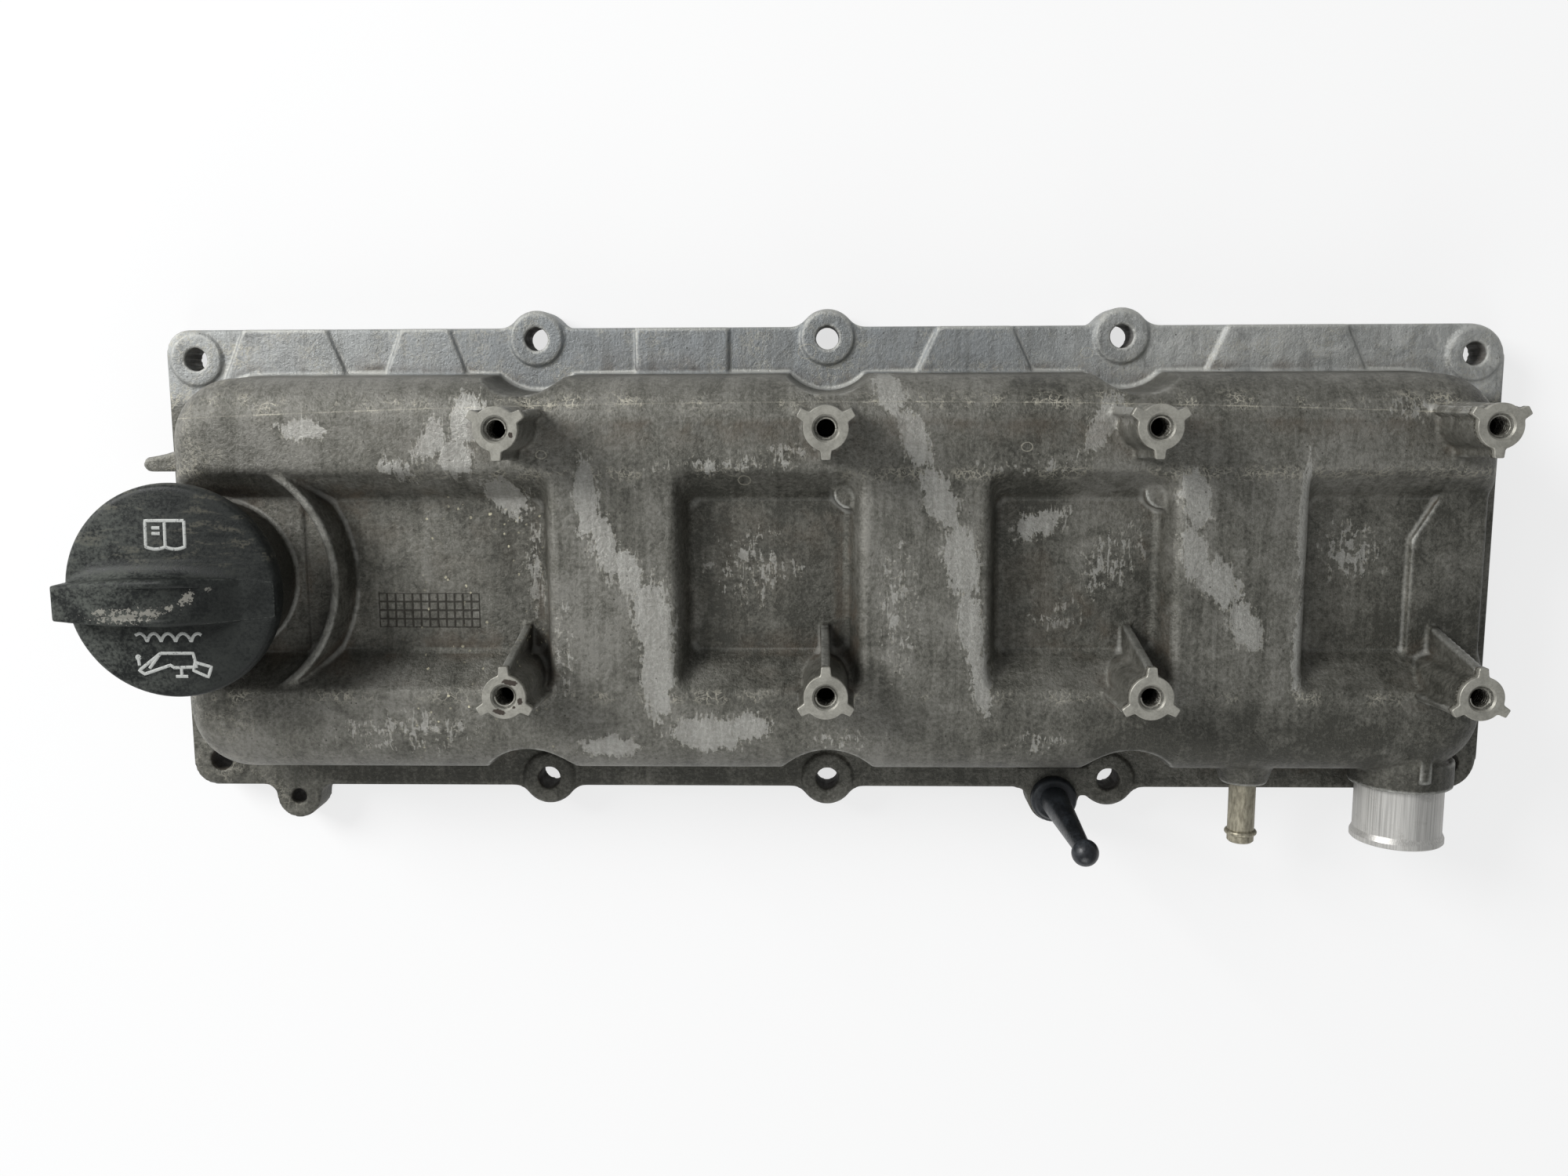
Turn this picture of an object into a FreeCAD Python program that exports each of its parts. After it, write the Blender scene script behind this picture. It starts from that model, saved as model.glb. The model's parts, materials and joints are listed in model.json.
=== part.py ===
import FreeCAD, Part

import math
import os

from FreeCAD import Vector

os.makedirs("parts", exist_ok=True)

# Engine valve cover: a die-cast aluminium shell that lies on its gasket face.
# X runs along the engine, Y across it, Z up from the gasket face of the flange.
# The origin lies midway between the four corner bolts. Lengths are in millimetres.

UP = Vector(0, 0, 1)
ALONG = Vector(1, 0, 0)
ACROSS = Vector(0, 1, 0)

# Bolt layout of the flange
corner_bolt_x = 188.2
corner_bolt_y = 61.3
mid_bolt_pitch = 86.0
mid_bolt_y = 66.75
mid_bolt_count = 3
bolt_hole_d = 6.8
bolt_seat_r = 7.6
bolt_seat_height = 1.0
ear_r = 8.4
ear_blend_r = 6.0

# Flange plate
flange_thickness = 11.0
flange_end_x = 197.3
flange_upper_y = 70.0
flange_lower_y = 69.5
flange_left_corner_r = 7.0
flange_right_corner_r = 10.5
gasket_groove_width = 3.6
gasket_groove_depth = 3.0
gasket_end_out = 3.8
gasket_upper_out = 2.1
gasket_lower_out = 1.1
gasket_corner_r = 16.0
gasket_proud = 0.8
gasket_side_clearance = 0.3

# Raised ribs of the upper flange: middle of each, its width at the edge, its flare at the wall
pad_height = 1.0
pad_layout = ((-161.1, 24.4, 5.6), (-119.1, 13.7, 5.0), (-42.9, 27.1, 0.0), (43.2, 20.8, 6.4),
              (133.9, 33.6, 6.2))

# Hollow body above the flange
wall = 3.2
body_end_x = 187.2
body_upper_y = 56.5
body_lower_y = 58.5
body_corner_r = 19.0
body_draft_deg = 3.0
crest_height = 42.0
crest_round_r = 12.0
scallop_r = 15.2
scallop_draft_deg = 3.0

# Sunk pockets between the cross bars
pocket_depth = 10.5
pocket_floor_upper_y = 21.0
pocket_floor_lower_y = 22.8
pocket_rim_upper_y = 29.5
pocket_rim_lower_y = 32.7
pocket_side_slope = 3.0
pocket_corner_r = 4.0
pocket_floor_round_r = 2.5
pocket_rim_round_r = 3.0
first_bar_x = -60.1
bar_pitch = 87.0
bar_width = 35.6
bar_count = 3


# Tall screw bosses with ribs
boss_top_z = 63.7
boss_first_x = -86.7
boss_pitch = 86.0
boss_count = 4
boss_upper_y = 41.5
boss_lower_y = -29.6
boss_r = 5.8
boss_draft_deg = 1.0
boss_rib_reach = 8.0
boss_rib_width = 2.4
boss_rib_spread = 1.0
boss_thread_d = 5.2
boss_thread_depth = 16.0
boss_countersink_d = 7.4
gusset_reach = 15.0
gusset_top_drop = 2.5

# Round marks of the ejector pins at the upper right corners of the two middle pockets
ejector_r = 4.6
ejector_height = 4.5
ejector_y = 22.8

# Oil filler neck and the arched rib round it
neck_x = -175.5
neck_y = -1.3
neck_base_r = 22.2
neck_draft_deg = 1.5
neck_top_z = 53.0
neck_wall = 4.6
neck_skirt_step = 0.8
neck_skirt_floor = 3.0
neck_rim_chamfer = 1.0
neck_pad_edge_x = -150.8
neck_pad_height = 0.7
arch_crest_r = 36.4
arch_crest_width = 2.2
arch_outer_run = 2.6
arch_inner_run = 1.4
arch_height = 9.8

# Breather spigots in the lower wall
spigot_axis_z = 24.2
spigot_face_y = -63.4
pipe_x = 168.6
pipe_outer_r = 12.25
pipe_wall = 1.2
pipe_end_y = -80.6
pipe_lip = 0.7
pipe_lip_length = 1.6
pipe_collar_wall = 2.2
nipple_x = 122.8
nipple_outer_r = 3.85
nipple_bore_r = 2.6
nipple_end_y = -81.8
nipple_bead_r = 4.65
nipple_bead_y = -78.8
nipple_boss_r = 6.6
nipple_boss_flare = 3.0
spigot_seat_depth = 9.0
key_x = 168.8
key_width = 3.4
key_length = 9.4
key_outer_y = -60.0
key_top_z = 40.6

# Ball stud on the lower edge
stud_x = 69.3
stud_y = -72.6
stud_lug_r = 7.6
stud_base_r = 7.0
stud_base_height = 3.0
stud_shank_base_r = 4.4
stud_shank_top_r = 2.3
stud_ball_r = 3.7
stud_ball_z = 62.0
stud_pin_r = 3.0
stud_pin_depth = 9.0

# Lug with an empty hole at the lower left, and the lip on the left end wall
edge_lug_x = -165.0
edge_lug_y = -73.3
edge_lug_r = 6.8
edge_lug_hole_d = 4.8
edge_lug_blend_r = 4.0
lip_y = 33.0
lip_reach = 13.0
lip_width = 8.6
lip_low_z = 21.0
lip_top_z = 30.0
lip_trough_depth = 4.0
lip_wall = 1.6

# Breather box under the lower right shoulder, closed by a screwed plate
box_left_gap = 6.0
box_inner_y = -22.0
box_wall = 2.6
baffle_z = 9.6
baffle_thickness = 1.2
baffle_edge_gap = 1.2
baffle_bead_height = 1.4
baffle_bead_width = 5.0
baffle_drain_d = 6.0
box_boss_r = 3.6
box_screw_d = 4.0
box_screw_head_d = 7.6
box_screw_head_height = 2.4
box_screw_head_chamfer = 0.8
box_screw_length = 10.0
box_screw_recess_d = 2.6
box_screw_recess_depth = 1.6
screw_hole_clearance = 0.25
thread_clearance = 0.05
box_outer_screw_gap = 15.0
box_outer_screw_pitch = 39.0
box_inner_screw_gaps = (5.5, 47.0)
box_end_screw_gap = 7.2
box_outer_screw_y = -51.0
box_inner_screw_y = -27.0

# Screw cap of the filler neck
cap_overhang = 6.8
cap_seal_room = 2.0
cap_rim_height = 5.0
cap_crown_rise = 4.0
cap_crown_bulge = 0.75
cap_hub_land = 1.0
cap_edge_round_r = 2.0
cap_plug_clearance = 0.5
cap_plug_wall = 2.9
cap_plug_length = 12.0
cap_grip_rise = 8.0
cap_grip_width = 9.4
cap_grip_bulge = 1.6
cap_grip_offset_y = -2.0
cap_grip_flat_x = 12.0
cap_grip_ramp_drop = 6.5
cap_grip_round_r = 1.2
cap_seal_clearance = 0.1
cap_seal_width = 3.1
seal_seat_gap = 0.05

# Margins of the construction: depth that added metal reaches into a wall, and search tolerances
root_depth = 1.6
same_place = 0.001
rim_margin = 0.1
slot_end_ease = 0.01

pocket_floor_z = crest_height - pocket_depth
cap_r = neck_base_r + cap_overhang
cap_under_z = neck_top_z + cap_seal_room
cap_rim_z = cap_under_z + cap_rim_height
cap_crown_z = cap_rim_z + cap_crown_rise
cap_grip_top_z = cap_crown_z + cap_grip_rise
neck_bore_r = neck_base_r - neck_wall
cap_plug_r = neck_bore_r - cap_plug_clearance
cap_seal_inner_r = neck_bore_r - cap_seal_clearance
cap_seal_outer_r = cap_seal_inner_r + cap_seal_width
boss_columns = [boss_first_x + boss_pitch * i for i in range(boss_count)]
bar_centres = [first_bar_x + bar_pitch * i for i in range(bar_count)]
stud_seat_z = flange_thickness + bolt_seat_height
mid_bolt_columns = [mid_bolt_pitch * (i - (mid_bolt_count - 1) / 2) for i in range(mid_bolt_count)]
box_left_x = mid_bolt_columns[-1] + box_left_gap
box_outer_screw_x = (box_left_x + box_outer_screw_gap,
                     box_left_x + box_outer_screw_gap + box_outer_screw_pitch)
box_inner_screw_x = (*[box_left_x + gap for gap in box_inner_screw_gaps],
                     body_end_x - box_end_screw_gap)


def rounded_outline(left, right, lower, upper, left_r, right_r, z):
    """Closed level wire of a rectangle with arcs at its corners."""
    def corner(middle_x, middle_y, radius, start_deg):
        angles = [math.radians(start_deg + turn) for turn in (0, 45, 90)]
        return Part.Arc(*[Vector(middle_x + radius * math.cos(a), middle_y + radius * math.sin(a), z)
                          for a in angles])

    corners = [
        corner(right - right_r, upper - right_r, right_r, 0),
        corner(left + left_r, upper - left_r, left_r, 90),
        corner(left + left_r, lower + left_r, left_r, 180),
        corner(right - right_r, lower + right_r, right_r, 270),
    ]
    edges = []
    for arc, following in zip(corners, corners[1:] + corners[:1]):
        edges.append(arc.toShape())
        edges.append(Part.LineSegment(arc.EndPoint, following.StartPoint).toShape())
    return Part.Wire(edges)


def plate_of(wire, height):
    """Plate of a level wire, raised by a height."""
    return Part.Face(wire).extrude(UP * height)


def edges_at_height(shape, z):
    """Edges of a shape that lie level at one height."""
    return [e for e in shape.Edges if all(abs(v.Z - z) < same_place for v in e.Vertexes)]


def edges_at_y(shape, y):
    """Edges of a shape whose middle lies at one place across the engine."""
    return [e for e in shape.Edges if abs(e.CenterOfMass.y - y) < same_place]


def body_outline(inset, z):
    """Level outline of the drafted body walls at one height, moved inwards by an inset."""
    run = inset + (z - flange_thickness) * math.tan(math.radians(body_draft_deg))
    corner_r = body_corner_r - run
    return rounded_outline(-body_end_x + run, body_end_x - run, -body_lower_y + run, body_upper_y - run,
                           corner_r, corner_r, z)


def drafted_block(inset, low_z, top_z, round_r):
    """Body block of flat drafted walls between corner cones, with a rounded crest."""
    def run(z):
        return inset + (z - flange_thickness) * math.tan(math.radians(body_draft_deg))

    low_run, top_run = run(low_z), run(top_z)
    straight_x = body_end_x - body_corner_r
    straight_upper_y = body_upper_y - body_corner_r
    straight_lower_y = body_lower_y - body_corner_r
    long_part = prism([
        Vector(-straight_x, -body_lower_y + low_run, low_z),
        Vector(-straight_x, body_upper_y - low_run, low_z),
        Vector(-straight_x, body_upper_y - top_run, top_z),
        Vector(-straight_x, -body_lower_y + top_run, top_z),
    ], ALONG * 2 * straight_x)
    cross_part = prism([
        Vector(-body_end_x + low_run, -straight_lower_y, low_z),
        Vector(body_end_x - low_run, -straight_lower_y, low_z),
        Vector(body_end_x - top_run, -straight_lower_y, top_z),
        Vector(-body_end_x + top_run, -straight_lower_y, top_z),
    ], ACROSS * (straight_upper_y + straight_lower_y))
    cones = [upright_cone(body_corner_r - low_run, body_corner_r - top_run, low_z, top_z, x, y)
             for x in (-straight_x, straight_x) for y in (-straight_lower_y, straight_upper_y)]
    block = long_part.fuse([cross_part] + cones).removeSplitter()
    return block.makeFillet(round_r, edges_at_height(block, top_z))


def tapered_box(low, top):
    """Block of flat sides between two level rectangles, each given as x0, x1, y0, y1, z."""
    low_x0, low_x1, low_y0, low_y1, low_z = low
    top_x0, top_x1, top_y0, top_y1, top_z = top
    lying = Part.makeWedge(low_x0, low_z, -low_y1, -top_y1, top_x0, low_x1, top_z, -low_y0, -top_y0, top_x1)
    lying.rotate(Vector(0, 0, 0), ALONG, 90)
    return lying


def pocket_tool(left, right, grow):
    """Tapered block that sinks one pocket; an end given as None runs out through the end wall."""
    beyond = body_end_x + 4 * wall

    def rectangle(z):
        rise = (z - pocket_floor_z) / pocket_depth
        sides = pocket_side_slope * (1 - rise) - grow
        left_x = -beyond if left is None else left + sides
        right_x = beyond if right is None else right - sides
        upper_y = pocket_floor_upper_y + (pocket_rim_upper_y - pocket_floor_upper_y) * rise + grow
        lower_y = pocket_floor_lower_y + (pocket_rim_lower_y - pocket_floor_lower_y) * rise + grow
        return left_x, right_x, -lower_y, upper_y, z

    floor_z, top_z = pocket_floor_z - grow, crest_height + grow
    block = tapered_box(rectangle(floor_z), rectangle(top_z))
    corner_edges = [e for e in block.Edges if abs(e.Vertexes[0].Z - e.Vertexes[-1].Z) > pocket_depth / 2]
    return block.makeFillet(pocket_corner_r, corner_edges)


def pocket_tools(grow):
    """Tools of all four pockets, between and beyond the cross bars."""
    half = bar_width / 2
    left_ends = [None] + [x + half for x in bar_centres]
    right_ends = [x - half for x in bar_centres] + [None]
    return [pocket_tool(left, right, grow) for left, right in zip(left_ends, right_ends)]


def sunk_body(block):
    """Outer block with its pockets sunk and their rims rounded."""
    for tool in pocket_tools(0):
        floor_edges = edges_at_height(tool, pocket_floor_z)
        block = block.cut(tool.makeFillet(pocket_floor_round_r, floor_edges))
    inner_rim = max(pocket_rim_upper_y, pocket_rim_lower_y) + rim_margin
    rims = [e for e in edges_at_height(block, crest_height)
            if all(abs(v.Y) < inner_rim for v in e.Vertexes)]
    return block.makeFillet(pocket_rim_round_r, rims)


def upright_cylinder(radius, low_z, top_z, x, y):
    """Upright cylinder between two heights."""
    return Part.makeCylinder(radius, top_z - low_z, Vector(x, y, low_z))


def upright_cone(low_r, top_r, low_z, top_z, x, y):
    """Upright cone between two heights."""
    return Part.makeCone(low_r, top_r, top_z - low_z, Vector(x, y, low_z))


def level_box(x0, x1, y0, y1, z0, z1):
    """Box between two corners."""
    return Part.makeBox(x1 - x0, y1 - y0, z1 - z0, Vector(x0, y0, z0))


def prism(points, direction):
    """Solid swept from a closed polygon along a direction."""
    wire = Part.makePolygon(points + points[:1])
    return Part.Face(wire).extrude(direction)


def edge_ear(x, y, radius, blend_r, height):
    """Round ear on a long edge of the flange, with hollow blends where it leaves the edge."""
    side = math.copysign(1, y)
    edge_y = flange_upper_y if side > 0 else -flange_lower_y
    rise = side * (y - edge_y)
    reach = math.sqrt((radius + blend_r) ** 2 - (blend_r - rise) ** 2)
    inner_depth = 2 * wall

    def place(across, out):
        return Vector(x + across, edge_y + side * out, 0)

    def blend(hand):
        middle = Vector(hand * reach, blend_r, 0)
        to_circle = (Vector(0, rise, 0) - middle).normalize()
        to_edge = Vector(0, -1, 0)
        half_way = (to_circle + to_edge).normalize()
        return [middle + way * blend_r for way in (to_edge, half_way, to_circle)]

    left = [place(p.x, p.y) for p in blend(-1)]
    right = [place(p.x, p.y) for p in blend(1)]
    tip = place(0, rise + radius)
    inner_left = place(-reach, -inner_depth)
    inner_right = place(reach, -inner_depth)
    edges = [
        Part.Arc(left[0], left[1], left[2]).toShape(),
        Part.Arc(left[2], tip, right[2]).toShape(),
        Part.Arc(right[2], right[1], right[0]).toShape(),
        Part.LineSegment(right[0], inner_right).toShape(),
        Part.LineSegment(inner_right, inner_left).toShape(),
        Part.LineSegment(inner_left, left[0]).toShape(),
    ]
    return plate_of(Part.Wire(edges), height)


def mid_bolts():
    """Places of the bolts between the corners, both rows."""
    return [(x, side * mid_bolt_y) for side in (1, -1) for x in mid_bolt_columns]


def corner_bolts():
    """Places of the four corner bolts."""
    return [(sx * corner_bolt_x, sy * corner_bolt_y) for sx in (-1, 1) for sy in (-1, 1)]


def flange_pad(middle, width, flare):
    """Raised field of the upper flange that widens towards the body wall."""
    depth = flange_upper_y - body_upper_y
    inner_y = body_upper_y - wall
    inner_flare = flare * (flange_upper_y - inner_y) / depth
    half = width / 2
    points = [
        Vector(middle - half, flange_upper_y, 0),
        Vector(middle + half, flange_upper_y, 0),
        Vector(middle + half + inner_flare, inner_y, 0),
        Vector(middle - half - inner_flare, inner_y, 0),
    ]
    return prism(points, UP * (flange_thickness + pad_height))


def flange_plate():
    """Flange with its ears, lugs, bolt seats and raised fields."""
    outline = rounded_outline(-flange_end_x, flange_end_x, -flange_lower_y, flange_upper_y,
                              flange_left_corner_r, flange_right_corner_r, 0)
    plate = plate_of(outline, flange_thickness)
    last_ear_x, last_ear_y = mid_bolts()[-1]
    web_y = -(flange_lower_y + mid_bolt_y + ear_r) / 2
    pieces = [edge_ear(x, y, ear_r, ear_blend_r, flange_thickness) for x, y in mid_bolts()]
    pieces += [upright_cylinder(bolt_seat_r, 0, flange_thickness + bolt_seat_height, x, y)
               for x, y in mid_bolts() + corner_bolts()]
    pieces += [flange_pad(*pad) for pad in pad_layout]
    pieces.append(edge_ear(edge_lug_x, edge_lug_y, edge_lug_r, edge_lug_blend_r, flange_thickness))
    pieces.append(edge_ear(stud_x, stud_y, stud_lug_r, edge_lug_blend_r, stud_seat_z))
    pieces.append(level_box(stud_x, last_ear_x, web_y, last_ear_y, 0, flange_thickness))
    return plate.fuse(pieces)


def screw_boss(x, y, base_z):
    """Tall boss that tapers upwards."""
    growth = (boss_top_z - base_z) * math.tan(math.radians(boss_draft_deg))
    return upright_cone(boss_r + growth, boss_r, base_z, boss_top_z, x, y)


def boss_rib(x, y, angle_deg, foot_reach, foot_z, top_z):
    """Upright rib that leaves a boss at one angle and widens towards its foot."""
    half = boss_rib_width / 2
    points = [Vector(0, -half, foot_z), Vector(foot_reach, -half, foot_z),
              Vector(boss_rib_reach, -half, top_z), Vector(0, -half, top_z)]
    rib = prism(points, ACROSS * boss_rib_width)
    rib.rotate(Vector(0, 0, 0), UP, angle_deg)
    rib.translate(Vector(x, y, 0))
    return rib


def ribbed_bosses():
    """Both rows of tall bosses; the lower row has a long gusset down to the pocket floor."""
    pieces = []
    rib_foot = boss_rib_reach + boss_rib_spread
    root_z = pocket_floor_z - root_depth
    shoulder_z = crest_height - root_depth
    for x in boss_columns:
        pieces.append(screw_boss(x, boss_upper_y, shoulder_z))
        pieces.append(screw_boss(x, boss_lower_y, root_z))
        pieces += [boss_rib(x, boss_upper_y, a, rib_foot, shoulder_z, boss_top_z) for a in (30, 150, 270)]
        pieces += [boss_rib(x, boss_lower_y, a, rib_foot, shoulder_z, boss_top_z) for a in (210, 330)]
        pieces.append(boss_rib(x, boss_lower_y, 90, gusset_reach, root_z, boss_top_z - gusset_top_drop))
    return pieces


def ejector_pads():
    """Round pads half sunk into the pocket slopes, where the ejector pins pushed."""
    return [upright_cylinder(ejector_r, pocket_floor_z - root_depth, pocket_floor_z + ejector_height,
                             x - bar_width / 2 - pocket_side_slope, ejector_y) for x in bar_centres[1:]]


def boss_holes():
    """Threaded blind holes of the bosses, with a countersink at each mouth."""
    holes = []
    sink = (boss_countersink_d - boss_thread_d) / 2
    for x in boss_columns:
        for y in (boss_upper_y, boss_lower_y):
            holes.append(upright_cylinder(boss_thread_d / 2, boss_top_z - boss_thread_depth, boss_top_z,
                                          x, y))
            holes.append(upright_cone(boss_thread_d / 2, boss_countersink_d / 2, boss_top_z - sink,
                                      boss_top_z, x, y))
    return holes


def wall_scallops():
    """Drafted hollows in the long walls that clear a socket on each bolt between the corners."""
    height = crest_height - flange_thickness + wall
    growth = height * math.tan(math.radians(scallop_draft_deg))
    return [upright_cone(scallop_r, scallop_r + growth, flange_thickness, flange_thickness + height, x, y)
            for x, y in mid_bolts()]


def arch_rib(block):
    """Arched rib round the filler neck, kept within the body."""
    foot_z = pocket_floor_z - root_depth
    top_z = pocket_floor_z + arch_height
    inner = arch_crest_r - arch_crest_width / 2
    outer = arch_crest_r + arch_crest_width / 2
    section = [Vector(inner - arch_inner_run, 0, foot_z), Vector(outer + arch_outer_run, 0, foot_z),
               Vector(outer, 0, top_z), Vector(inner, 0, top_z)]
    face = Part.Face(Part.makePolygon(section + section[:1]))
    ring = face.revolve(Vector(0, 0, 0), UP, 360)
    ring.translate(Vector(neck_x, neck_y, 0))
    return ring.common(block)


def filler_neck():
    """Drafted tube of the oil filler, with the round skirt that bulges out of the end wall below it."""
    base_z = pocket_floor_z - wall
    shrink = (neck_top_z - pocket_floor_z) * math.tan(math.radians(neck_draft_deg))
    grow = wall * math.tan(math.radians(neck_draft_deg))
    neck = upright_cone(neck_base_r + grow, neck_base_r - shrink, base_z, neck_top_z, neck_x, neck_y)
    skirt = upright_cylinder(neck_base_r - neck_skirt_step, 0, pocket_floor_z, neck_x, neck_y)
    return neck.makeChamfer(neck_rim_chamfer, edges_at_height(neck, neck_top_z)).fuse(skirt)


def neck_pad(block):
    """Slightly raised floor field under the neck, kept within the body."""
    pad = level_box(-body_end_x, neck_pad_edge_x, -pocket_floor_lower_y, pocket_floor_upper_y,
                    pocket_floor_z - root_depth, pocket_floor_z + neck_pad_height)
    return pad.common(block)


def across_cone(x, z, start_y, end_y, start_r, end_r):
    """Cone along -Y from a start to an end."""
    return Part.makeCone(start_r, end_r, start_y - end_y, Vector(x, start_y, z), ACROSS * -1)


def across_cylinder(x, z, start_y, end_y, radius):
    """Cylinder along -Y from a start to an end."""
    return Part.makeCylinder(radius, start_y - end_y, Vector(x, start_y, z), ACROSS * -1)


def spigot_collars():
    """Casting collar of the breather pipe, boss of the small nipple, and the key on the collar."""
    inside_y = -(body_lower_y - wall)
    collar = across_cylinder(pipe_x, spigot_axis_z, inside_y, spigot_face_y, pipe_outer_r + pipe_collar_wall)
    boss = across_cone(nipple_x, spigot_axis_z, inside_y, spigot_face_y,
                       nipple_boss_r + nipple_boss_flare, nipple_boss_r)
    key = level_box(key_x - key_width / 2, key_x + key_width / 2, key_outer_y, key_outer_y + key_length,
                    spigot_axis_z, key_top_z)
    return [collar, boss, key]


def spigot_bores():
    """Seats of the two spigots and the passages behind them."""
    seat_y = spigot_face_y + spigot_seat_depth
    through_y = -pocket_rim_lower_y - wall
    return [
        across_cylinder(pipe_x, spigot_axis_z, seat_y, spigot_face_y, pipe_outer_r),
        across_cylinder(pipe_x, spigot_axis_z, through_y, spigot_face_y, pipe_outer_r - pipe_wall),
        across_cylinder(nipple_x, spigot_axis_z, seat_y, spigot_face_y, nipple_outer_r),
        across_cylinder(nipple_x, spigot_axis_z, through_y, spigot_face_y, nipple_bore_r),
    ]


def end_lip():
    """Fin-shaped lip on the left end wall with a trough along its top."""
    root_x = -(body_end_x - wall)
    tip_x = -body_end_x - lip_reach + wall
    half = lip_width / 2
    nose_r = half / 2
    upper_root = Vector(root_x, lip_y + half, 0)
    upper_mid = Vector((root_x + tip_x) / 2, lip_y + half / 3, 0)
    nose_top = Vector(tip_x, lip_y - half + 2 * nose_r, 0)
    nose = Vector(tip_x - nose_r, lip_y - half + nose_r, 0)
    nose_low = Vector(tip_x, lip_y - half, 0)
    lower_root = Vector(root_x, lip_y - half, 0)
    outline = Part.Wire([
        Part.Arc(upper_root, upper_mid, nose_top).toShape(),
        Part.Arc(nose_top, nose, nose_low).toShape(),
        Part.LineSegment(nose_low, lower_root).toShape(),
        Part.LineSegment(lower_root, upper_root).toShape(),
    ])
    outline.translate(UP * lip_low_z)
    fin = plate_of(outline, lip_top_z - lip_low_z)
    trough = level_box(tip_x - nose_r, -body_end_x, lip_y - half, lip_y + half,
                       lip_top_z - lip_trough_depth, lip_top_z)
    trough.translate(ACROSS * -lip_wall)
    kept_rim = level_box(tip_x - 2 * nose_r, -body_end_x, lip_y - half, lip_y + half, lip_low_z, lip_top_z)
    return fin.cut(trough.common(kept_rim))


def box_screws():
    """Places of the screws that hold the plate of the breather box."""
    outer = [(x, box_outer_screw_y) for x in box_outer_screw_x]
    return outer + [(x, box_inner_screw_y) for x in box_inner_screw_x]


def box_walls(body):
    """Inner walls and screw bosses of the breather box, kept under the roof of the body."""
    inner_end_x = body_end_x - root_depth
    outer_end_y = -(body_lower_y - root_depth)
    pieces = [
        level_box(box_left_x, box_left_x + box_wall, outer_end_y, box_inner_y, baffle_z, crest_height),
        level_box(box_left_x, inner_end_x, box_inner_y - box_wall, box_inner_y, baffle_z, crest_height),
    ]
    pieces += [upright_cylinder(box_boss_r, baffle_z, crest_height - root_depth, x, y)
               for x, y in box_screws()]
    return [piece.common(body) for piece in pieces]


def gasket_ring(inner_half, low_z, top_z):
    """Closed ring that follows the gasket line, as wide as twice its half width."""
    def outline(offset):
        end_x = body_end_x + gasket_end_out + offset
        upper_y = body_upper_y + gasket_upper_out + offset
        lower_y = body_lower_y + gasket_lower_out + offset
        corner_r = gasket_corner_r + offset
        return rounded_outline(-end_x, end_x, -lower_y, upper_y, corner_r, corner_r, low_z)

    height = top_z - low_z
    return plate_of(outline(inner_half), height).cut(plate_of(outline(-inner_half), height))


def cover_casting():
    """One aluminium casting: hollow body, flange, pockets, bosses, neck and collars."""
    block = drafted_block(0, 0, crest_height, crest_round_r)
    body = sunk_body(block).cut(wall_scallops())
    outside = body.fuse([flange_plate(), arch_rib(block), neck_pad(block), filler_neck(), end_lip()]
                        + ribbed_bosses() + ejector_pads() + spigot_collars())
    cavity = drafted_block(wall, -wall, crest_height - wall, crest_round_r - wall)
    for tool in pocket_tools(wall) + scallop_linings():
        cavity = cavity.cut(tool)
    shell = outside.cut(cavity)
    shell = shell.fuse(box_walls(body))
    cuts = boss_holes() + spigot_bores()
    cuts.append(upright_cylinder(neck_bore_r, flange_thickness + neck_skirt_floor, neck_top_z,
                                 neck_x, neck_y))
    cuts.append(gasket_ring(gasket_groove_width / 2, -gasket_proud, gasket_groove_depth))
    cuts += [upright_cylinder(bolt_hole_d / 2, -gasket_proud, flange_thickness + 2 * bolt_seat_height, x, y)
             for x, y in mid_bolts() + corner_bolts()]
    cuts.append(upright_cylinder(edge_lug_hole_d / 2, -gasket_proud, flange_thickness,
                                 edge_lug_x, edge_lug_y))
    cuts.append(upright_cylinder(stud_pin_r, stud_seat_z - stud_pin_depth, stud_seat_z, stud_x, stud_y))
    cuts += [upright_cylinder(box_screw_d / 2 + thread_clearance, baffle_z,
                              baffle_z + box_screw_length, x, y) for x, y in box_screws()]
    return shell.cut(cuts)


def scallop_linings():
    """Metal left behind each wall scallop inside the body."""
    height = crest_height - flange_thickness
    growth = height * math.tan(math.radians(scallop_draft_deg))
    return [upright_cone(scallop_r + wall, scallop_r + wall + growth, -wall, crest_height, x, y)
            for x, y in mid_bolts()]


def cover_gasket():
    """Moulded rubber ring in the flange groove, with a narrow sealing bead that stands proud."""
    body_half = gasket_groove_width / 2 - gasket_side_clearance
    ring = gasket_ring(body_half, 0, gasket_groove_depth)
    bead = gasket_ring(body_half / 2, -gasket_proud, 0)
    return ring.fuse(bead).removeSplitter()


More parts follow.
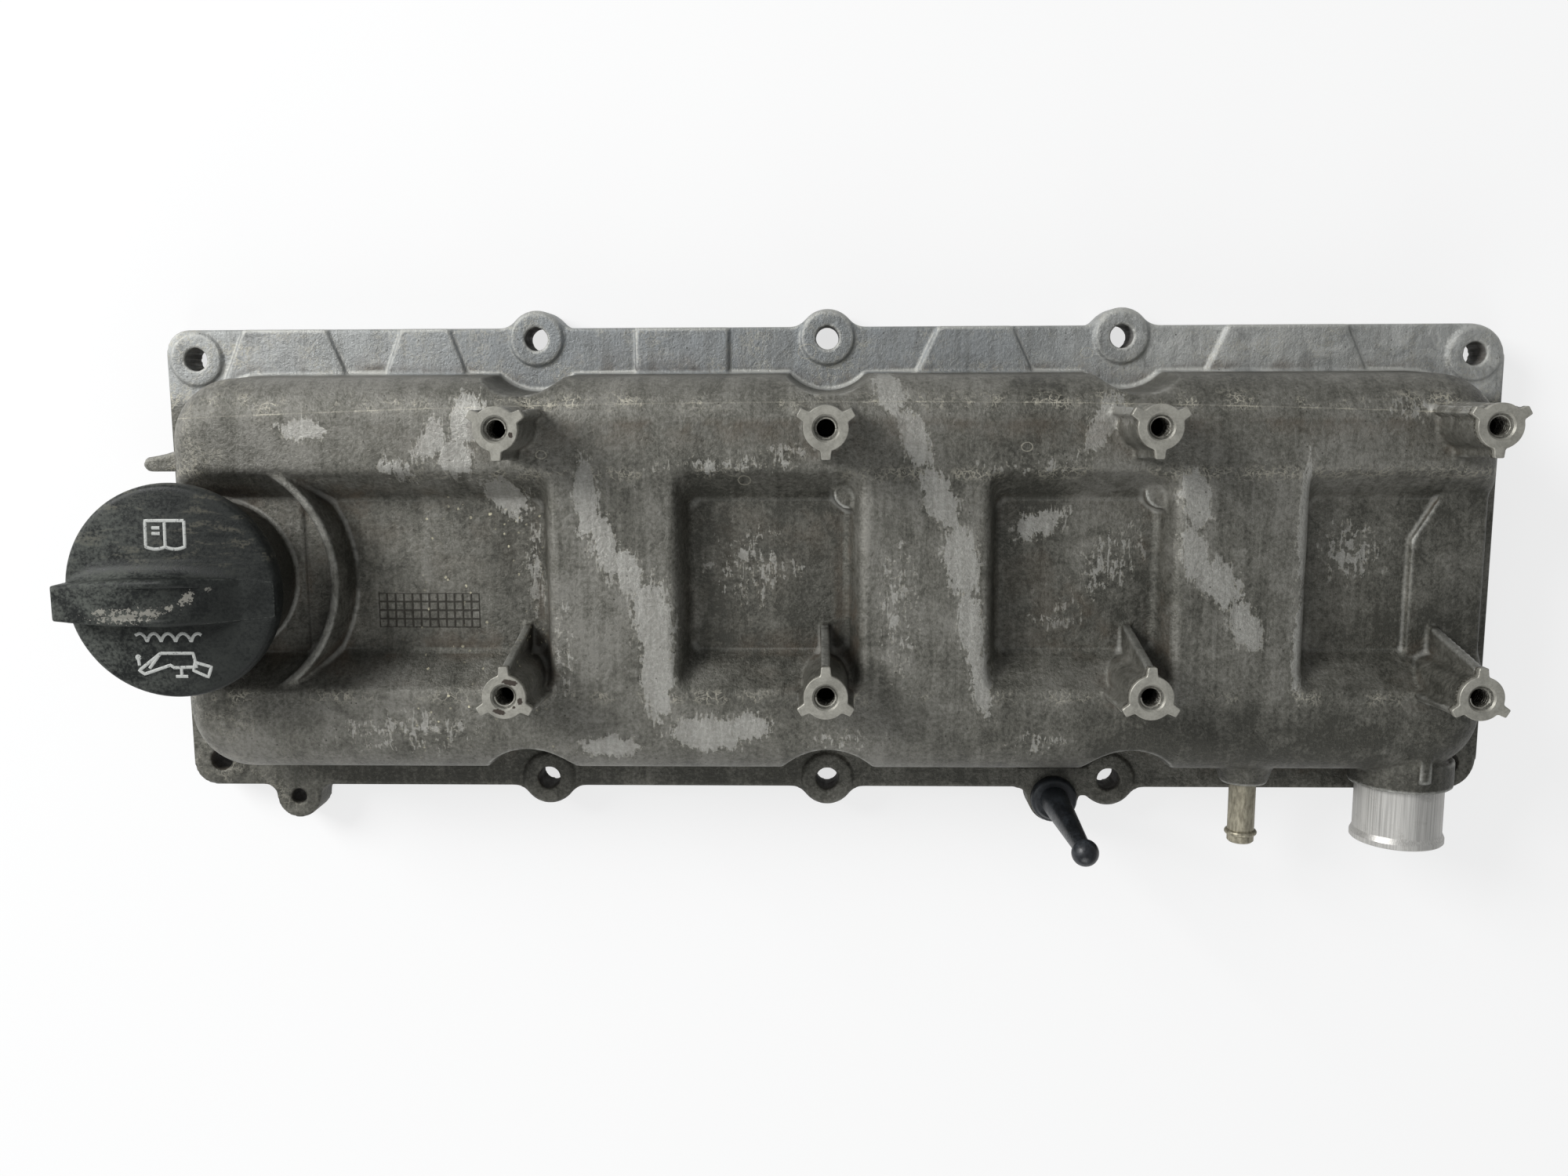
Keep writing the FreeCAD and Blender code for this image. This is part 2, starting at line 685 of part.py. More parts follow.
def baffle_plate():
    """Pressed sheet that closes the breather box, with beads, drains and a gas inlet."""
    right = body_end_x - wall - baffle_edge_gap
    low_z = baffle_z - baffle_thickness
    plate = plate_of(body_outline(wall + baffle_edge_gap, baffle_z), baffle_thickness)
    plate.translate(UP * -baffle_thickness)
    plate = plate.common(level_box(box_left_x, body_end_x, -body_lower_y, box_inner_y, low_z, baffle_z))
    middle_y = (box_outer_screw_y + box_inner_screw_y) / 2
    bead_left = box_outer_screw_x[0]
    bead_right = right - baffle_bead_width
    bead_half = baffle_bead_width / 2
    groove_half = bead_half - baffle_thickness
    bead = plate_of(rounded_outline(bead_left, bead_right, middle_y - bead_half, middle_y + bead_half,
                                    bead_half - slot_end_ease, bead_half - slot_end_ease,
                                    low_z - baffle_bead_height), baffle_bead_height)
    groove = plate_of(rounded_outline(bead_left + baffle_thickness, bead_right - baffle_thickness,
                                      middle_y - groove_half, middle_y + groove_half,
                                      groove_half - slot_end_ease, groove_half - slot_end_ease,
                                      baffle_z - baffle_bead_height), baffle_bead_height)
    plate = plate.fuse(bead).cut(groove)
    drain_y = (middle_y + box_inner_screw_y) / 2
    cuts = [upright_cylinder(box_screw_d / 2 + screw_hole_clearance, low_z, baffle_z, x, y)
            for x, y in box_screws()]
    cuts += [upright_cylinder(baffle_drain_d / 2, low_z, baffle_z, x, drain_y)
             for x in (nipple_x, pipe_x - pipe_outer_r)]
    cuts.append(level_box(nipple_x - baffle_drain_d, nipple_x + baffle_drain_d,
                          box_outer_screw_y - baffle_drain_d / 2, box_outer_screw_y + baffle_drain_d / 2,
                          low_z, baffle_z))
    cuts += [upright_cylinder(scallop_r + wall + baffle_edge_gap, low_z, baffle_z, x, y)
             for x, y in mid_bolts()]
    return plate.cut(cuts)


def baffle_screw(x, y):
    """Flanged pan-head screw seen from below, with a hexagon recess."""
    plate_low_z = baffle_z - baffle_thickness
    head_low_z = plate_low_z - box_screw_head_height
    shank_top_z = baffle_z + box_screw_length - 2 * thread_clearance
    head = upright_cylinder(box_screw_head_d / 2, head_low_z, plate_low_z, x, y)
    head = head.makeChamfer(box_screw_head_chamfer, edges_at_height(head, head_low_z))
    shank = upright_cylinder(box_screw_d / 2, plate_low_z, shank_top_z, x, y)
    corner_r = box_screw_recess_d / math.sqrt(3)
    corners = [Vector(x + corner_r * math.cos(a), y + corner_r * math.sin(a), head_low_z)
               for a in [math.radians(60 * k) for k in range(6)]]
    return head.fuse(shank).cut(prism(corners, UP * box_screw_recess_depth))


def breather_pipe():
    """Pressed-in tube of the breather, with a rolled lip at its open end."""
    inner_y = spigot_face_y + spigot_seat_depth
    tube = across_cylinder(pipe_x, spigot_axis_z, inner_y, pipe_end_y, pipe_outer_r)
    lip_y_inner = pipe_end_y + pipe_lip_length
    lip_r = pipe_outer_r + pipe_lip
    flare = across_cone(pipe_x, spigot_axis_z, lip_y_inner + pipe_lip_length, lip_y_inner,
                        pipe_outer_r, lip_r)
    lip = across_cylinder(pipe_x, spigot_axis_z, lip_y_inner, pipe_end_y, lip_r)
    lip = lip.makeChamfer(pipe_lip / 2, edges_at_y(lip, pipe_end_y))
    bore = across_cylinder(pipe_x, spigot_axis_z, inner_y, pipe_end_y, pipe_outer_r - pipe_wall)
    return tube.fuse([flare, lip]).cut(bore)


def vent_nipple():
    """Small pressed-in hose nipple with a rounded bead near its end."""
    inner_y = spigot_face_y + spigot_seat_depth
    tube = across_cylinder(nipple_x, spigot_axis_z, inner_y, nipple_end_y, nipple_outer_r)
    tube = tube.makeChamfer(nipple_outer_r / 8, edges_at_y(tube, nipple_end_y))
    bead = Part.makeTorus(nipple_outer_r, nipple_bead_r - nipple_outer_r,
                          Vector(nipple_x, nipple_bead_y, spigot_axis_z), ACROSS)
    bore = across_cylinder(nipple_x, spigot_axis_z, inner_y, nipple_end_y, nipple_bore_r)
    return tube.fuse(bead).cut(bore)


def ball_stud():
    """Black steel stud with a round foot, a tapered shank and a ball end, pressed into its lug."""
    foot_top = stud_seat_z + stud_base_height
    ball_low = stud_ball_z - math.sqrt(stud_ball_r ** 2 - stud_shank_top_r ** 2)
    foot = upright_cylinder(stud_base_r, stud_seat_z, foot_top, stud_x, stud_y)
    foot = foot.makeFillet(stud_base_height / 2, edges_at_height(foot, foot_top))
    shank = upright_cone(stud_shank_base_r, stud_shank_top_r, foot_top - stud_base_height / 2, ball_low,
                         stud_x, stud_y)
    ball = Part.makeSphere(stud_ball_r, Vector(stud_x, stud_y, stud_ball_z))
    pin = upright_cylinder(stud_pin_r, stud_seat_z - stud_pin_depth, stud_seat_z, stud_x, stud_y)
    return foot.fuse([shank, ball, pin])


def cap_seal():
    """Flat rubber ring between the neck and the cap."""
    low_z = neck_top_z + seal_seat_gap
    top_z = cap_under_z - seal_seat_gap
    ring = upright_cylinder(cap_seal_outer_r, low_z, top_z, neck_x, neck_y)
    return ring.cut(upright_cylinder(cap_seal_inner_r, low_z, top_z, neck_x, neck_y))


def cap_disc():
    """Turned disc of the cap with its hollow threaded plug."""
    rim_low = Vector(cap_r - cap_edge_round_r, 0, cap_rim_z - cap_edge_round_r)
    rim_out = Vector(cap_r, 0, cap_rim_z)
    rim_top = Vector(cap_r - cap_edge_round_r, 0, cap_rim_z + cap_edge_round_r)
    crown = Vector(0, 0, cap_crown_z)
    crown_mid = Vector(rim_top.x / 2, 0, rim_top.z + (cap_crown_z - rim_top.z) * cap_crown_bulge)
    plug_low_z = cap_under_z - cap_plug_length
    roof_z = cap_under_z - cap_edge_round_r
    core_r = cap_plug_r - cap_plug_wall
    corners = [
        rim_low,
        Vector(cap_seal_outer_r + cap_hub_land, 0, cap_under_z),
        Vector(cap_plug_r, 0, cap_under_z),
        Vector(cap_plug_r, 0, plug_low_z),
        Vector(core_r, 0, plug_low_z),
        Vector(core_r, 0, roof_z),
        Vector(0, 0, roof_z),
        crown,
    ]
    edges = [Part.Arc(crown, crown_mid, rim_top).toShape(), Part.Arc(rim_top, rim_out, rim_low).toShape()]
    edges += [Part.LineSegment(a, b).toShape() for a, b in zip(corners, corners[1:])]
    return Part.Face(Part.Wire(edges)).revolve(Vector(0, 0, 0), UP, 360)


def cap_grip():
    """Finger bar across the cap: bowed sides, a flat top and a ramp towards the engine."""
    end_x = cap_r - cap_edge_round_r / 2
    half = cap_grip_width / 2

    left_low, left_high = Vector(-end_x, -half, cap_rim_z), Vector(-end_x, half, cap_rim_z)
    right_low, right_high = Vector(end_x, -half, cap_rim_z), Vector(end_x, half, cap_rim_z)
    bulge = Vector(0, half + cap_grip_bulge, 0)
    outline = Part.Wire([
        Part.Arc(left_high, UP * cap_rim_z + bulge, right_high).toShape(),
        Part.LineSegment(right_high, right_low).toShape(),
        Part.Arc(right_low, UP * cap_rim_z - bulge, left_low).toShape(),
        Part.LineSegment(left_low, left_high).toShape(),
    ])
    bar = plate_of(outline, cap_grip_top_z - cap_rim_z)
    wide = 2 * cap_grip_width
    ramp = prism([Vector(cap_grip_flat_x, -wide, cap_grip_top_z),
                  Vector(cap_r, -wide, cap_grip_top_z),
                  Vector(cap_r, -wide, cap_grip_top_z - cap_grip_ramp_drop)], ACROSS * 2 * wide)
    return bar.cut(ramp)


def filler_cap():
    """Screw cap of the oil filler, moulded as one piece."""
    grip = cap_grip()
    top_edges = [e for e in grip.Edges if e.CenterOfMass.z > cap_grip_top_z - cap_grip_ramp_drop
                 and abs(e.tangentAt(e.FirstParameter).z) < 0.9]
    grip = grip.makeFillet(cap_grip_round_r, top_edges)
    grip.translate(ACROSS * cap_grip_offset_y)
    cap = cap_disc().fuse(grip)
    cap.translate(Vector(neck_x, neck_y, 0))
    return cap


def save(name, shape):
    """Write one piece as a STEP file."""
    shape.exportStep("parts/" + name + ".step")


save("cover_casting", cover_casting())
save("cover_gasket", cover_gasket())
save("baffle_plate", baffle_plate())
for number, (screw_x, screw_y) in enumerate(box_screws(), start=1):
    save(f"baffle_screw_{number}", baffle_screw(screw_x, screw_y))
save("breather_pipe", breather_pipe())
save("vent_nipple", vent_nipple())
save("ball_stud", ball_stud())
save("cap_seal", cap_seal())
save("filler_cap", filler_cap())
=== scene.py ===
"""Engine valve cover: finishes, cast and moulded detail, light and camera round its frame."""

import json
import logging
import math
from collections.abc import Callable, Iterable
from dataclasses import dataclass
from enum import Enum
from functools import reduce

import bmesh
import bpy
import numpy as np
from mathutils import Matrix, Vector
from mathutils.bvhtree import BVHTree


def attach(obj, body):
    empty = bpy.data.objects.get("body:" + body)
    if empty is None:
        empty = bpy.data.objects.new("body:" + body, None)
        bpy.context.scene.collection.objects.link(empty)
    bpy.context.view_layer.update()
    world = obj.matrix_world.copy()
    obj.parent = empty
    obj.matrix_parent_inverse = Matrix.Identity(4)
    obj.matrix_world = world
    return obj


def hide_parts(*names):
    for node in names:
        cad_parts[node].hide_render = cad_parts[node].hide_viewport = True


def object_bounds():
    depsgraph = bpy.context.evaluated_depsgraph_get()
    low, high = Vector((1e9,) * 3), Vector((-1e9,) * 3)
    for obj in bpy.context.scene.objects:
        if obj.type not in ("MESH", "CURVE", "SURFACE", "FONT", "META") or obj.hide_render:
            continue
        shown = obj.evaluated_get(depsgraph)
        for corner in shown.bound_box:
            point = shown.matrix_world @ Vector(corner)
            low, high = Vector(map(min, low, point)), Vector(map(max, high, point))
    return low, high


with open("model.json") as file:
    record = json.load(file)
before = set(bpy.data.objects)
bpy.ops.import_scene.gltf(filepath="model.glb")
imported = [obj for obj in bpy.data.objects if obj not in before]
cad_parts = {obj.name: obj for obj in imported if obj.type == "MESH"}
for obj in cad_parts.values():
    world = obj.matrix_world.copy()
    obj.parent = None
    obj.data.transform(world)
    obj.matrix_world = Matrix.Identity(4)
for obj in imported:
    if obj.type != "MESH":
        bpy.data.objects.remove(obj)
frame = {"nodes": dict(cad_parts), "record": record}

MM = 0.001
NECK_X, NECK_Y = -175.5, -1.3
MERGE_MM = 0.002
SOFTNESS_LEVELS = 4
CAD_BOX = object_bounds()
LOG = logging.getLogger("valve_cover")

Colour = tuple[float, float, float]
Point = tuple[float, float, float]
Spot = tuple[float, float]
Path = tuple[Spot, ...]


class Body(str, Enum):
    """Bodies of the frame that pieces ride on."""

    COVER = "cover"
    CAP = "cap"


@dataclass(frozen=True)
class Patch:
    """Oval place on a surface, in millimetres, with the strength of what shows there."""

    x: float
    y: float
    half_x: float
    half_y: float
    lean_deg: float = 0.0
    strength: float = 1.0


class Tap:
    """A value socket of a material that can be used in arithmetic."""

    def __init__(self, shop: "Shop", socket: bpy.types.NodeSocket | None) -> None:
        """Wrap a socket.

        Args:
            shop: Node tree that the socket belongs to.
            socket: Output socket that carries the value, or None for a node that ends the tree.
        """
        self.shop = shop
        self.socket = socket

    def _maths(self, operation: str, first: "Tap | float", second: "Tap | float" = 0.0) -> "Tap":
        """Add a Math node and return its result."""
        return self.shop.node("ShaderNodeMath", {"operation": operation}, {0: first, 1: second})

    def __add__(self, other: "Tap | float") -> "Tap":
        """Sum."""
        return self._maths("ADD", self, other)

    def __radd__(self, other: float) -> "Tap":
        """Sum with a number in front."""
        return self._maths("ADD", other, self)

    def __sub__(self, other: "Tap | float") -> "Tap":
        """Difference."""
        return self._maths("SUBTRACT", self, other)

    def __rsub__(self, other: float) -> "Tap":
        """Difference with a number in front."""
        return self._maths("SUBTRACT", other, self)

    def __mul__(self, other: "Tap | float") -> "Tap":
        """Product."""
        return self._maths("MULTIPLY", self, other)

    def __rmul__(self, other: float) -> "Tap":
        """Product with a number in front."""
        return self._maths("MULTIPLY", other, self)

    def __truediv__(self, other: "Tap | float") -> "Tap":
        """Quotient."""
        return self._maths("DIVIDE", self, other)

    def __pow__(self, other: "Tap | float") -> "Tap":
        """Power."""
        return self._maths("POWER", self, other)

    def __abs__(self) -> "Tap":
        """Size without its sign."""
        return self._maths("ABSOLUTE", self)

    def at_least(self, other: "Tap | float") -> "Tap":
        """Larger of two values."""
        return self._maths("MAXIMUM", self, other)

    def at_most(self, other: "Tap | float") -> "Tap":
        """Smaller of two values."""
        return self._maths("MINIMUM", self, other)

    def rise(self, low: float, high: float) -> "Tap":
        """Smooth step from 0 at one value to 1 at another.

        Args:
            low: Value where the step is 0.
            high: Value where the step is 1; it may be the smaller one.

        Returns:
            The step, between 0 and 1.
        """
        settings = {"interpolation_type": "SMOOTHSTEP"}
        return self.shop.node("ShaderNodeMapRange", settings, {0: self, 1: low, 2: high})

    def window(self, low: float, high: float, soft: float) -> "Tap":
        """Soft band that is 1 between two values.

        Args:
            low: Lower edge.
            high: Upper edge.
            soft: Half of the width over which an edge fades.

        Returns:
            The band, between 0 and 1.
        """
        return self.rise(low - soft, low + soft) * self.rise(high + soft, high - soft)


def highest(taps: Iterable[Tap]) -> Tap:
    """Largest of several values."""
    return reduce(Tap.at_least, taps)


class Shop:
    """Node tree of one material or world, with one method that adds any node."""

    def __init__(self, name: str, owners: bpy.types.bpy_prop_collection | None = None) -> None:
        """Start an empty material or world.

        Args:
            name: Name of the data block.
            owners: Collection of Blender that makes it; the materials when left out.
        """
        self.owner = (bpy.data.materials if owners is None else owners).new(name)
        self.owner.use_nodes = True
        self.tree = self.owner.node_tree
        self.tree.nodes.clear()

    @staticmethod
    def _find(sockets: bpy.types.bpy_prop_collection, key: int | str) -> bpy.types.NodeSocket:
        """Socket with an index, an identifier or a name."""
        if isinstance(key, int):
            return sockets[key]
        by_identifier = [socket for socket in sockets if socket.identifier == key]
        return by_identifier[0] if by_identifier else sockets[key]

    def node(self, kind: str, settings: dict | None = None, inputs: dict | None = None,
             out: int | str = 0) -> Tap:
        """Add a node, set it up and feed its sockets.

        Args:
            kind: Type of the node.
            settings: Properties of the node, set before its sockets are used; "stops" sets a ramp.
            inputs: Value or Tap for each socket, by index, identifier or name.
            out: Output that is returned.

        Returns:
            The chosen output.
        """
        made = self.tree.nodes.new(kind)
        for key, value in (settings or {}).items():
            if key == "stops":
                self._set_ramp(made.color_ramp, value)
            else:
                setattr(made, key, value)
        for key, value in (inputs or {}).items():
            socket = self._find(made.inputs, key)
            if isinstance(value, Tap):
                self.tree.links.new(value.socket, socket)
            else:
                socket.default_value = value
        return Tap(self, self._find(made.outputs, out) if made.outputs else None)

    @staticmethod
    def _set_ramp(ramp: bpy.types.ColorRamp, stops: list[tuple[float, Colour]]) -> None:
        """Give a colour ramp its stops."""
        while len(ramp.elements) < len(stops):
            ramp.elements.new(1.0)
        for element, (place, colour) in zip(ramp.elements, stops):
            element.position = place
            element.color = (*colour, 1.0)

    def vector(self, operation: str, first: Tap, second: Tap | Point = (0.0, 0.0, 0.0),
               out: int | str = 0) -> Tap:
        """Add a Vector Math node and return its result."""
        settings = {"operation": operation}
        return self.node("ShaderNodeVectorMath", settings, {0: first, 1: second}, out)

    def place_mm(self) -> Tap:
        """Object coordinates in millimetres."""
        here = self.node("ShaderNodeTexCoord", out="Object")
        feeds = {0: here, "Scale": 1.0 / MM}
        return self.node("ShaderNodeVectorMath", {"operation": "SCALE"}, feeds)

    def oval(self, place: Tap, patch: Patch) -> Tap:
        """Distance from the middle of an oval patch, 1 on its rim."""
        centred = self.vector("SUBTRACT", place, (patch.x, patch.y, 0.0))
        turn = {"Vector": centred, "Rotation": (0.0, 0.0, math.radians(-patch.lean_deg))}
        upright = self.node("ShaderNodeMapping", {"vector_type": "POINT"}, turn)
        local = self.vector("MULTIPLY", upright, (1 / patch.half_x, 1 / patch.half_y, 0.0))
        return self.vector("LENGTH", local, out="Value")

    def cells(self, place: Tap, size: float, feature: str = "F1") -> Tap:
        """Distance to the middle of the nearest cell, or to the edge of the cell.

        Args:
            place: Coordinates in millimetres.
            size: Size of the cells in millimetres.
            feature: F1 for the middle, DISTANCE_TO_EDGE for the edge.

        Returns:
            The distance, in cells.
        """
        knobs = {"Vector": place, "Scale": 1.0 / size, "Randomness": 1.0}
        return self.node("ShaderNodeTexVoronoi", {"feature": feature}, knobs, "Distance")

    def stretched(self, place: Tap, sizes: Point) -> Tap:
        """Coordinates divided by a size in each direction."""
        return self.vector("DIVIDE", place, sizes)

    def noise(self, place: Tap, size: float, detail: float = 4.0, rough: float = 0.55,
              twist: float = 0.0) -> Tap:
        """Cloudy noise.

        Args:
            place: Coordinates in millimetres.
            size: Size of the largest clouds in millimetres.
            detail: Number of finer layers.
            rough: Share of each finer layer.
            twist: Distortion.

        Returns:
            Noise around 0.5.
        """
        knobs = {"Vector": place, "Scale": 1.0 / size, "Detail": detail, "Roughness": rough,
                 "Distortion": twist}
        return self.node("ShaderNodeTexNoise", None, knobs)

    def blend(self, amount: Tap | float, first: Tap | Colour, second: Tap | Colour) -> Tap:
        """Mix two colours.

        Args:
            amount: Share of the second colour.
            first: First colour.
            second: Second colour.

        Returns:
            The mixed colour.
        """
        def full(colour: Tap | Colour) -> Tap | tuple[float, ...]:
            return colour if isinstance(colour, Tap) else (*colour, 1.0)

        settings = {"data_type": "RGBA", "blend_type": "MIX", "clamp_factor": True}
        sockets = {"Factor_Float": amount, "A_Color": full(first), "B_Color": full(second)}
        return self.node("ShaderNodeMix", settings, sockets, "Result_Color")

    def bump(self, height: Tap, depth_mm: float, strength: float = 1.0) -> Tap:
        """Bump from a height between 0 and 1.

        Args:
            height: Height map.
            depth_mm: Depth of the relief in millimetres.
            strength: Strength of the effect.

        Returns:
            The bumped normal.
        """
        sockets = {"Height": height, "Distance": depth_mm * MM, "Strength": strength}
        return self.node("ShaderNodeBump", None, sockets, "Normal")

    def parts_of(self, place: Tap) -> tuple[Tap, Tap, Tap]:
        """X, Y and Z of coordinates."""
        split = self.node("ShaderNodeSeparateXYZ", None, {0: place}).socket.node
        return tuple(Tap(self, output) for output in split.outputs)

    def attribute(self, name: str) -> Tap:
        """Value that the points of the mesh carry under a name."""
        return self.node("ShaderNodeAttribute", {"attribute_name": name}, None, "Fac")

    def finish(self, **sockets: Tap | float | tuple) -> bpy.types.Material:
        """Close the tree with a Principled shader.

        Args:
            sockets: Inputs of the shader, with underscores for spaces.

        Returns:
            The finished material.
        """
        feeds = {key.replace("_", " "): value for key, value in sockets.items()}
        for key, value in feeds.items():
            if isinstance(value, tuple) and len(value) == 3:
                feeds[key] = (*value, 1.0)
        shader = self.node("ShaderNodeBsdfPrincipled", None, feeds)
        self.node("ShaderNodeOutputMaterial", None, {"Surface": shader})
        return self.owner


class Ground:
    """Coordinates, noises and zones that the layers of the cast finish share."""

    flange_step_z: Spot = (12.6, 14.5)
    pocket_z: Spot = (40.0, 33.5)
    pocket_y: Spot = (-27.0, 25.0)
    bar_y: Spot = (-28.0, 26.0)
    bar_places: tuple[float, ...] = (-60.1, 26.9, 113.9)
    bar_half: float = 17.8
    upper_flange_y: Spot = (46.0, 52.0)

    def __init__(self, shop: Shop) -> None:
        """Lay out the shared values.

        Args:
            shop: Node tree of the cast finish.
        """
        self.shop = shop
        self.place = place = shop.place_mm()
        self.x, self.y, self.z = shop.parts_of(place)
        self.edge = shop.attribute("edge_wear")
        self.hollow = shop.attribute("hollow")
        self.shelter = shop.attribute("shelter")

        self.clouds = shop.noise(place, 42.0, 5.0, 0.62, 0.3)
        self.blotches = shop.noise(place, 9.0, 7.0, 0.7, 0.9)
        self.speckle = shop.noise(place, 1.1, 5.0, 0.72)
        self.strokes = shop.noise(shop.stretched(place, (1.3, 5.5, 5.5)), 1.0, 4.0, 0.6, 0.9)
        self.chips = shop.noise(place, 3.4, 4.0, 0.62, 0.8)
        self.long_strokes = shop.noise(shop.stretched(place, (2.2, 30.0, 30.0)), 1.0, 4.0, 0.6)
        self.patchy = shop.noise(place, 12.0, 4.0, 0.65).rise(0.44, 0.62)

        self.on_top = self.z.rise(*self.flange_step_z)
        bars = highest(self.x.window(bar - self.bar_half, bar + self.bar_half, 2.0)
                       for bar in self.bar_places)
        self.on_bar = bars * self.y.window(*self.bar_y, 8.0) * self.on_top
        sunk = self.z.rise(*self.pocket_z) * self.y.window(*self.pocket_y, 4.0)
        self.in_pocket = sunk * self.on_top
        self.upper_flange = (1.0 - self.on_top) * self.y.rise(*self.upper_flange_y)
        level = shop.vector("MULTIPLY", place, (1.0, 1.0, 0.0))
        self.from_neck = shop.vector("DISTANCE", level, (NECK_X, NECK_Y, 0.0), "Value")


@dataclass(frozen=True)
class CastFinish:
    """Die-cast aluminium, mottled by years of heat and oil, with scraped bare patches."""

    dark: Colour = (0.05, 0.049, 0.04)
    middle: Colour = (0.118, 0.115, 0.098)
    light: Colour = (0.205, 0.2, 0.178)
    bare: Colour = (0.4, 0.395, 0.365)
    scraped: Colour = (0.27, 0.265, 0.24)
    cold: Colour = (0.27, 0.285, 0.29)
    pale: Colour = (0.56, 0.56, 0.53)
    # Near-black colour of soiled pits and grid lines, also used for the painted shade in sheltered
    # corners.
    grime_and_shade: Colour = (0.02, 0.017, 0.012)
    rust: Colour = (0.12, 0.08, 0.048)
    vein: Colour = (0.42, 0.4, 0.33)
    # Pale worn metal, also the colour of the painted highlights on edges and at the foot of the
    # walls.
    worn: Colour = (0.46, 0.46, 0.43)
    cream: Colour = (0.62, 0.58, 0.42)
    parting_y: float = 48.2
    neck_foot_r: float = 25.0
    patches: tuple[Patch, ...] = (
        Patch(-110, 38, 4, 7, -25), Patch(-103, 33, 5, 6, -25), Patch(-100, 44, 5, 8, -15),
        Patch(-91, 22, 7, 5, -30), Patch(-67, 22, 3.5, 12, 4), Patch(-62, 8, 4, 9, 12),
        Patch(-56, 2, 4, 8, 20), Patch(-49, -12, 6, 12, 8), Patch(-48, -27, 5, 14, 0),
        Patch(-33, -45, 12, 5), Patch(-22, -43, 6, 4), Patch(-62, -49, 8, 3.5),
        Patch(17, 51, 4, 7, 20), Patch(24, 38, 4, 10, 18), Patch(31, 21, 4.5, 11, 24),
        Patch(37, 4, 5, 12, 12), Patch(40, -14, 4, 12, 8), Patch(43, -29, 3, 9, 6),
        Patch(101, 22, 4, 9, 8), Patch(101, 6, 4, 9, 14), Patch(109, -3, 5, 8, 35),
        Patch(116, -14, 4, 8, 25), Patch(-30, 31, 18, 3, 0, 0.55), Patch(-12, 34, 7, 4, 0, 0.6),
        Patch(56, 31, 14, 3, 0, 0.5), Patch(-121, 30, 6, 4, -20, 0.7),
        Patch(58, -47, 10, 4, 0, 0.5), Patch(5, -47, 11, 4, 0, 0.55), Patch(-84, 2, 3, 14, 0, 0.6),
        Patch(160, 46, 12, 4, 0, 0.6), Patch(-20, 0, 14, 12, 0, 0.5),
        Patch(-120, -45, 20, 6, 0, 0.52), Patch(20, -10, 6, 20, 0, 0.55),
        Patch(-75, -20, 4, 14, 0, 0.55), Patch(131, 14, 2, 17), Patch(131, -20, 2, 14),
        Patch(75, 42, 3.5, 9, -30), Patch(60, 14, 8, 4, 20, 0.85), Patch(80, 3, 8, 14, -35, 0.6),
        Patch(67, -12, 8, 5, 10, 0.55), Patch(148, 6, 9, 9, 0, 0.6), Patch(-146, 41, 7, 3),
    )
    rings: tuple[Point, ...] = ((-23.3, 26.6, 1.7), (54.4, 35.8, 1.5), (-79.3, 34.0, 1.4),
                                (-6.0, 62.8, 2.6), (76.0, 62.0, 1.8))
    ring_squash: float = 1.25
    grid_corner: Spot = (-129.9, -6.1)
    grid_size: Spot = (29.3, 10.1)
    grid_cells: tuple[int, int] = (12, 4)
    grid_line: float = 0.36
    grid_floor_z: Spot = (29.0, 33.5)

    def _base(self, g: Ground) -> Tap:
        """Mottled skin, darker in the pockets, with painted shadow of the cap round the neck and
        painted shade on the lower flange and lower right shoulder.
        """
        tone = (g.clouds - 0.5) * 0.9 + (g.blotches - 0.5) * 0.75 + (g.speckle - 0.5) * 0.85 + 0.53
        tone = tone + (g.long_strokes - 0.5) * (0.35 + 0.3 * g.on_bar) + g.on_bar * 0.05
        tone = tone - g.in_pocket * 0.13 + g.on_top * (g.x.rise(-60.0, -170.0) * 0.05)
        # Painted shadow of the body on the lower flange.
        tone = tone - (1.0 - g.on_top) * g.y.rise(0.0, -40.0) * 0.16
        # Painted shade on the lower shoulder towards the right, which faces away from the light.
        tone = tone - g.on_top * g.y.rise(-30.0, -48.0) * g.x.rise(0.0, 90.0) * 0.22
        # Painted shadow of the cap on the floor round the neck, and a fainter darkening of the floor
        # out to about 44 mm from the neck.
        cap_shadow = g.from_neck.rise(self.neck_foot_r + 2.5, self.neck_foot_r) * g.z.rise(32.5, 35.5)
        tone = tone - cap_shadow * 0.4 - g.from_neck.rise(44.0, 36.0) * g.z.rise(32.0, 35.0) * 0.08
        stops = [(0.28, self.dark), (0.5, self.middle), (0.74, self.light)]
        return g.shop.node("ShaderNodeValToRGB", {"stops": stops}, {0: tone}, "Color")

    def _flange(self, g: Ground, colour: Tap) -> Tap:
        """Cold upper flange, paler towards its ends (partly cleaner metal, partly painted reflection
        of the light from above), and the dark foot of the wall behind it.
        """
        uneven = (g.long_strokes - 0.5) * 1.0 + (g.blotches - 0.5) * 1.1
        # The cold, paler flange is partly painted reflection of the light from above.
        cold_share = g.upper_flange * (0.8 + uneven)
        toward_ends = abs(g.x + 25.0).rise(60.0, 135.0) * (0.55 + 0.45 * g.x.rise(-60.0, 90.0))
        pale_share = toward_ends * (0.55 + (g.blotches - 0.5) * 1.2)
        colour = g.shop.blend(cold_share, colour, g.shop.blend(pale_share, self.cold, self.pale))
        foot_strip = g.y.window(50.0, 56.5, 1.5) * g.z.window(14.0, 31.0, 3.0)
        return g.shop.blend(foot_strip * 0.35, colour, self.dark)

